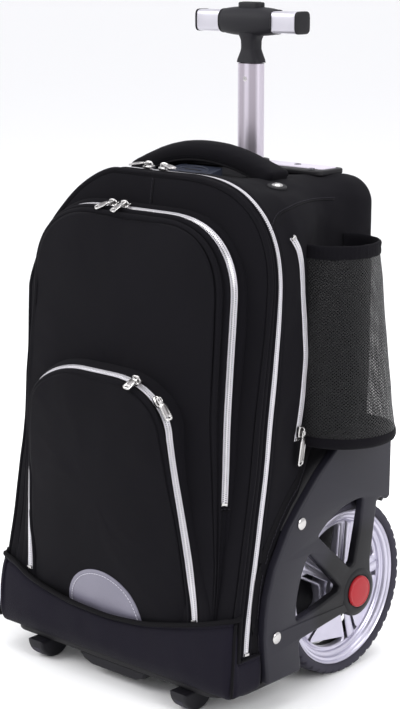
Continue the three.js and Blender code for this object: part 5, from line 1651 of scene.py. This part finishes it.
def strapAt(route, i):  # the strap's direction across and its width at a point of its route
    last = len(route) - 1
    along = (route[min(i + 1, last)] - route[max(i - 1, 0)]).normalized()
    share = i / last
    wide = strapLook["wide"] * (0.84 + 0.16 * math.sin(math.pi * min(share * 1.4, 1)))
    return Vector((along.z, 0, -along.x)), wide * (1 - 0.45 * max(share - 0.86, 0) / 0.14)


def shoulderStrap(side, word):
    route = smoothLine([Vector((side * x, 0, z)) for x, z in strapLook["route"]], 4)
    rows = []
    for i, p in enumerate(route):
        across, wide = strapAt(route, i)
        row = []
        for u, v in roundedSquare(wide, strapLook["thick"], 5, 36):
            row.append(Vector((p.x, strapLook["low"] + 0.4 + strapLook["thick"] / 2 + v, p.z)) + across * u)
        rows.append(row)
    strap = gridPiece("strapBody", rows, bodyCloth, caps=(True, True))

    def held(p):
        return 1.0 if p.z > 428 or p.z < 212 or p.y < strapLook["low"] + 1.2 else 0.0

    swell(strap, 4.0, 4, 4, held, lambda p: Vector((p.x, within(p.y, strapLook["low"], 21.4), p.z)))
    edges = []
    for turn in (-1, 1):
        line = []
        for i in range(2, len(route) - 2):
            across, wide = strapAt(route, i)
            line.append(Vector((route[i].x, 15.2, route[i].z)) + across * (turn * (wide / 2 + 0.2)))
        edges.append(sweepPath("strapBinding", line, ovalSection(4.4, 3.4, 10), pipingCloth, Vector((0, 1, 0))))
    strap = finish(joined("shoulderStrap" + word.title(), [strap] + edges), "shoulder_strap_" + word)
    path = [Vector((side * mix(78, 80, i / 26), 11.9 + 0.9 * math.sin(math.pi * i / 26), mix(202, 67, i / 26)))
        for i in range(27)]
    webbing = sweepPath("strapWebbing" + word.title(), path, [(-12.5, -0.8), (12.5, -0.8), (12.7, 0), (12.5, 0.8),
        (-12.5, 0.8), (-12.7, 0)], webbingCloth, Vector((0, 1, 0)), sharp=30)
    finish(webbing, "strap_webbing_" + word)


bothSides(shoulderStrap)
print("back pad and straps made")

# Grab handle: a padded roll across the top, sewn down at both ends
grabLook = {"half": 88, "middle": 3, "ahead": -87, "top": 491.5, "sag": 22, "slump": 5, "wide": 27,
    "high": 21.5}


def grabCentre(s):
    far = min(abs(s), 1)
    sag = grabLook["sag"] + (grabLook["slump"] if s < 0 else 0)
    return Vector((grabLook["middle"] + grabLook["half"] * s, grabLook["ahead"],
        grabLook["top"] - sag * far ** 2.1 - 40 * max(abs(s) - 1, 0)))


def grabHandle():
    stations = [mix(-0.985, 0.985, k / 72) for k in range(73)]
    rows = []
    for s in stations:
        here = grabCentre(s)
        along = (grabCentre(s + 0.01) - grabCentre(s - 0.01)).normalized()
        up = along.cross(Vector((0, 1, 0))).normalized() * -1
        if up.z < 0:
            up = -up
        grow = 1 + 0.06 * max(abs(s) - 0.8, 0) / 0.185
        power = 2.3 + 2.4 * max(abs(s) - 0.7, 0) / 0.285
        rows.append([here + Vector((0, u * grow, 0)) + up * (v * grow)
            for u, v in roundedSquare(grabLook["wide"], grabLook["high"], power, 36)])
    roll = gridPiece("grabRoll", rows, bodyCloth, caps=(True, True))

    def held(p):
        return 1.0 if abs(p.x - grabLook["middle"]) > 82 or (p.y < grabLook["ahead"] - 7 and abs(p.x) < 92 and p.z
            < grabCentre((p.x - grabLook["middle"]) / grabLook["half"]).z - 4) else 0.0

    swell(roll, 4.0, 5, 4, held)
    line, outs = [], []
    for k in range(61):
        s = mix(-0.93, 0.93, k / 60)
        line.append(grabCentre(s) + Vector((0, -grabLook["wide"] / 2 * 0.86, -grabLook["high"] / 2 * 0.62)))
        outs.append(Vector((0, -0.75, -0.66)).normalized())
    ridge = sweepPath("grabSeam", line, ovalSection(1.6, 2.6, 8), pipingCloth, outs)
    above = [p + Vector((0, -0.9, 4.2)) for p in line]
    stitches = stitchRun("grabStitch", framesFrom(above, [Vector((0, -0.95, 0.3)).normalized()] * len(above)),
        bodyCloth, 3.6, 2.4, 0.7)
    handle = finish(joined("grabHandle", [roll, ridge, stitches]), "grab_handle")
    for _, word in sides:
        low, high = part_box("grab_rivet_" + word)
        x = (low.x + high.x) / 2 * 1000
        y = ((low.y + high.y) / 2 - backY) * 1000
        seat, normal = onBody(Vector((x, y, 700)), Vector((0, 0, -1)))
        washer = turned("washer", [(0.0, 9.0), (1.6, 9.0), (2.3, 8.2), (2.4, 5.0), (0.6, 4.4), (0.0, 4.4)], 36,
            (0, 0, 0), housingPlastic)
        stud = turned("stud", [(0.2, 5.2), (2.6, 5.2), (3.3, 4.6), (3.9, 3.2), (4.2, 1.5), (4.25, 0.01)], 28,
            (0, 0, 0), nickel, closed=False)
        spin = Vector((1, 0, 0)).rotation_difference(normal).to_matrix()
        rivet = joined("grabRivet" + word.title(), [washer, stud])
        for v in rivet.data.vertices:
            v.co = toFrame(seat + spin @ toBag(v.co))
        finish(rivet, "grab_rivet_" + word, "nickel")


grabHandle()


def ringPatch(name, outline, shares, place, material):  # a patch laid on a surface, ring by ring
    middle = Vector((sum(p[0] for p in outline) / len(outline), sum(p[1] for p in outline) / len(outline)))
    rows = []
    for share, up in shares:
        rows.append([place(*(middle + (Vector(p) - middle) * share), up) for p in outline])
    return gridPiece(name, rows, material, caps=(True, True), sharp=50)


def cablePatch():
    low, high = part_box("cable_patch")
    x0, x1 = low.x * 1000, high.x * 1000
    y0, y1 = (low.y - backY) * 1000, (high.y - backY) * 1000

    def place(u, v, up):
        met = onBody(Vector((u, v, 700)), Vector((0, 0, -1)))
        rise = 6.5 * (v - y0) / (y1 - y0) if up > 0 else 0  # the patch stands up towards the back
        return met[0] + met[1] * (up + 0.2 + rise)

    outline = rounded([(x0, y0, 5), (x1, y0, 5), (x1, y1, 5), (x0, y1, 5)])
    patch = ringPatch("patchSheet", outline, [(1.0, -0.3), (1.0, 0.7), (0.975, 1.25), (0.93, 1.3), (0.9, 0.9),
        (0.7, 0.95), (0.4, 0.95), (0.04, 0.95)], place, patchRubber)
    mx, my = (x0 + x1) / 2, (y0 + y1) / 2
    ring = [Vector((mx + 18 * math.cos(t), my + 8.5 * math.sin(t))) for t in [k / 24 * math.pi for k in range(48)]]
    line = [place(p.x, p.y, 1.2) for p in ring]
    rim = sweepPath("patchOval", line, ovalSection(2.4, 1.6, 8), patchRubber, Vector((0, 0, 1)), closed=True)
    slit = sweepPath("patchSlit", [place(mx + u, my, 1.2) for u in (-10, -5, 0, 5, 10)], ovalSection(1.4, 1.0, 8),
        housingPlastic, Vector((0, 0, 1)))
    finish(joined("cablePatch", [patch, rim, slit]), "cable_patch")


cablePatch()
print("grab handle made")


# Sewn seams: a low ridge of cloth with a row of stitches on one or both sides of it
def seam(name, starts, toward, ridge=1.5, rows=(2.2,), surface=onBody):
    points, outs = [], []
    for start in smoothLine([Vector(p) for p in starts], 3):
        met = surface(start, Vector(toward))
        if met:
            points.append(met[0])
            outs.append(met[1])
    frames = framesFrom(points, outs)
    parts = [sweepPath(name + "Ridge", points, ovalSection(ridge, 1.1, 8), pipingCloth, outs)]
    for shift in rows:
        moved = [(p + along.cross(out).normalized() * shift, out, along) for p, out, along in frames]
        parts.append(stitchRun(name + "Stitches", moved, threadCloth, 3.4, 2.2, 0.55))
    finish(joined(name, parts))


threadCloth = wovenCloth("sewing thread", linear(44, 42, 48), 0.0004, 0.3, 0.6, 0.05)
seam("topSeam", [(14, -400, 474), (13, -400, 464), (12, -400, 453)], (0, 1, 0))


def sideSeams(side, word):
    def across(points):
        return [(side * 300, -d, z) for d, z in points]

    seam("guardWelt" + word.title(), across([(86, 240), (100, 230), (120, 212), (140, 195), (158, 176),
        (174, 152), (183, 132), (187, 112), (190, 92), (189, 72), (187, 50)]), (-side, 0, 0), 7.0, (-5.0,))
    seam("yokeSeam" + word.title(), across([(160, 432), (151, 443), (136, 452), (112, 456), (84, 456),
        (50, 454)]), (-side, 0, 0), 1.4, (-2.0,))


bothSides(sideSeams)
onFront = surfaceOf(bpy.data.objects["frontPocket"])


def pocketSeam(side, word):
    points = [(side * 300, -d, 192.5) for d in (204, 197, 190, 184, 179)]
    seam("pocketSeam" + word.title(), points, (-side, 0, 0), 1.4, (-1.8,), onFront)


bothSides(pocketSeam)
print("seams made")


# Studio: pale floor, soft light
studioLook = {
    "floor": 60000, "sky": (0.97, 0.97, 1.0, 1), "skyPower": 1.0, "aim": (0, 0, 0.3),
    "boxes": [("leftSoftbox", (-1.6, -1.8, 1.9), 1.6, 40), ("rightSoftbox", (2.2, -0.4, 1.5), 1.3, 26),
        ("topSoftbox", (0.2, 0.3, 2.4), 1.6, 26)],  # place in metres, size, watts
}


def studio():
    ends = (-studioLook["floor"], studioLook["floor"])
    floor = gridPiece("floor", [[Vector((x, y, 0)) for x in ends] for y in ends],
        Finish("pale floor", Base_Color=(0.98, 0.98, 0.98, 1), Roughness=0.8).material, closed=False)
    world = bpy.data.worlds.new("studio")
    bpy.context.scene.world = world
    world.use_nodes = True
    world.node_tree.nodes["Background"].inputs["Color"].default_value = studioLook["sky"]
    world.node_tree.nodes["Background"].inputs["Strength"].default_value = studioLook["skyPower"]
    for name, place, size, power in studioLook["boxes"]:
        light = bpy.data.lights.new(name, "AREA")
        light.shape = "SQUARE"
        light.size = size
        light.energy = power
        holder = bpy.data.objects.new(name, light)
        holder.location = place
        aim = Vector(studioLook["aim"]) - Vector(place)
        holder.rotation_euler = aim.to_track_quat("-Z", "Y").to_euler()
        bpy.context.collection.objects.link(holder)


studio()
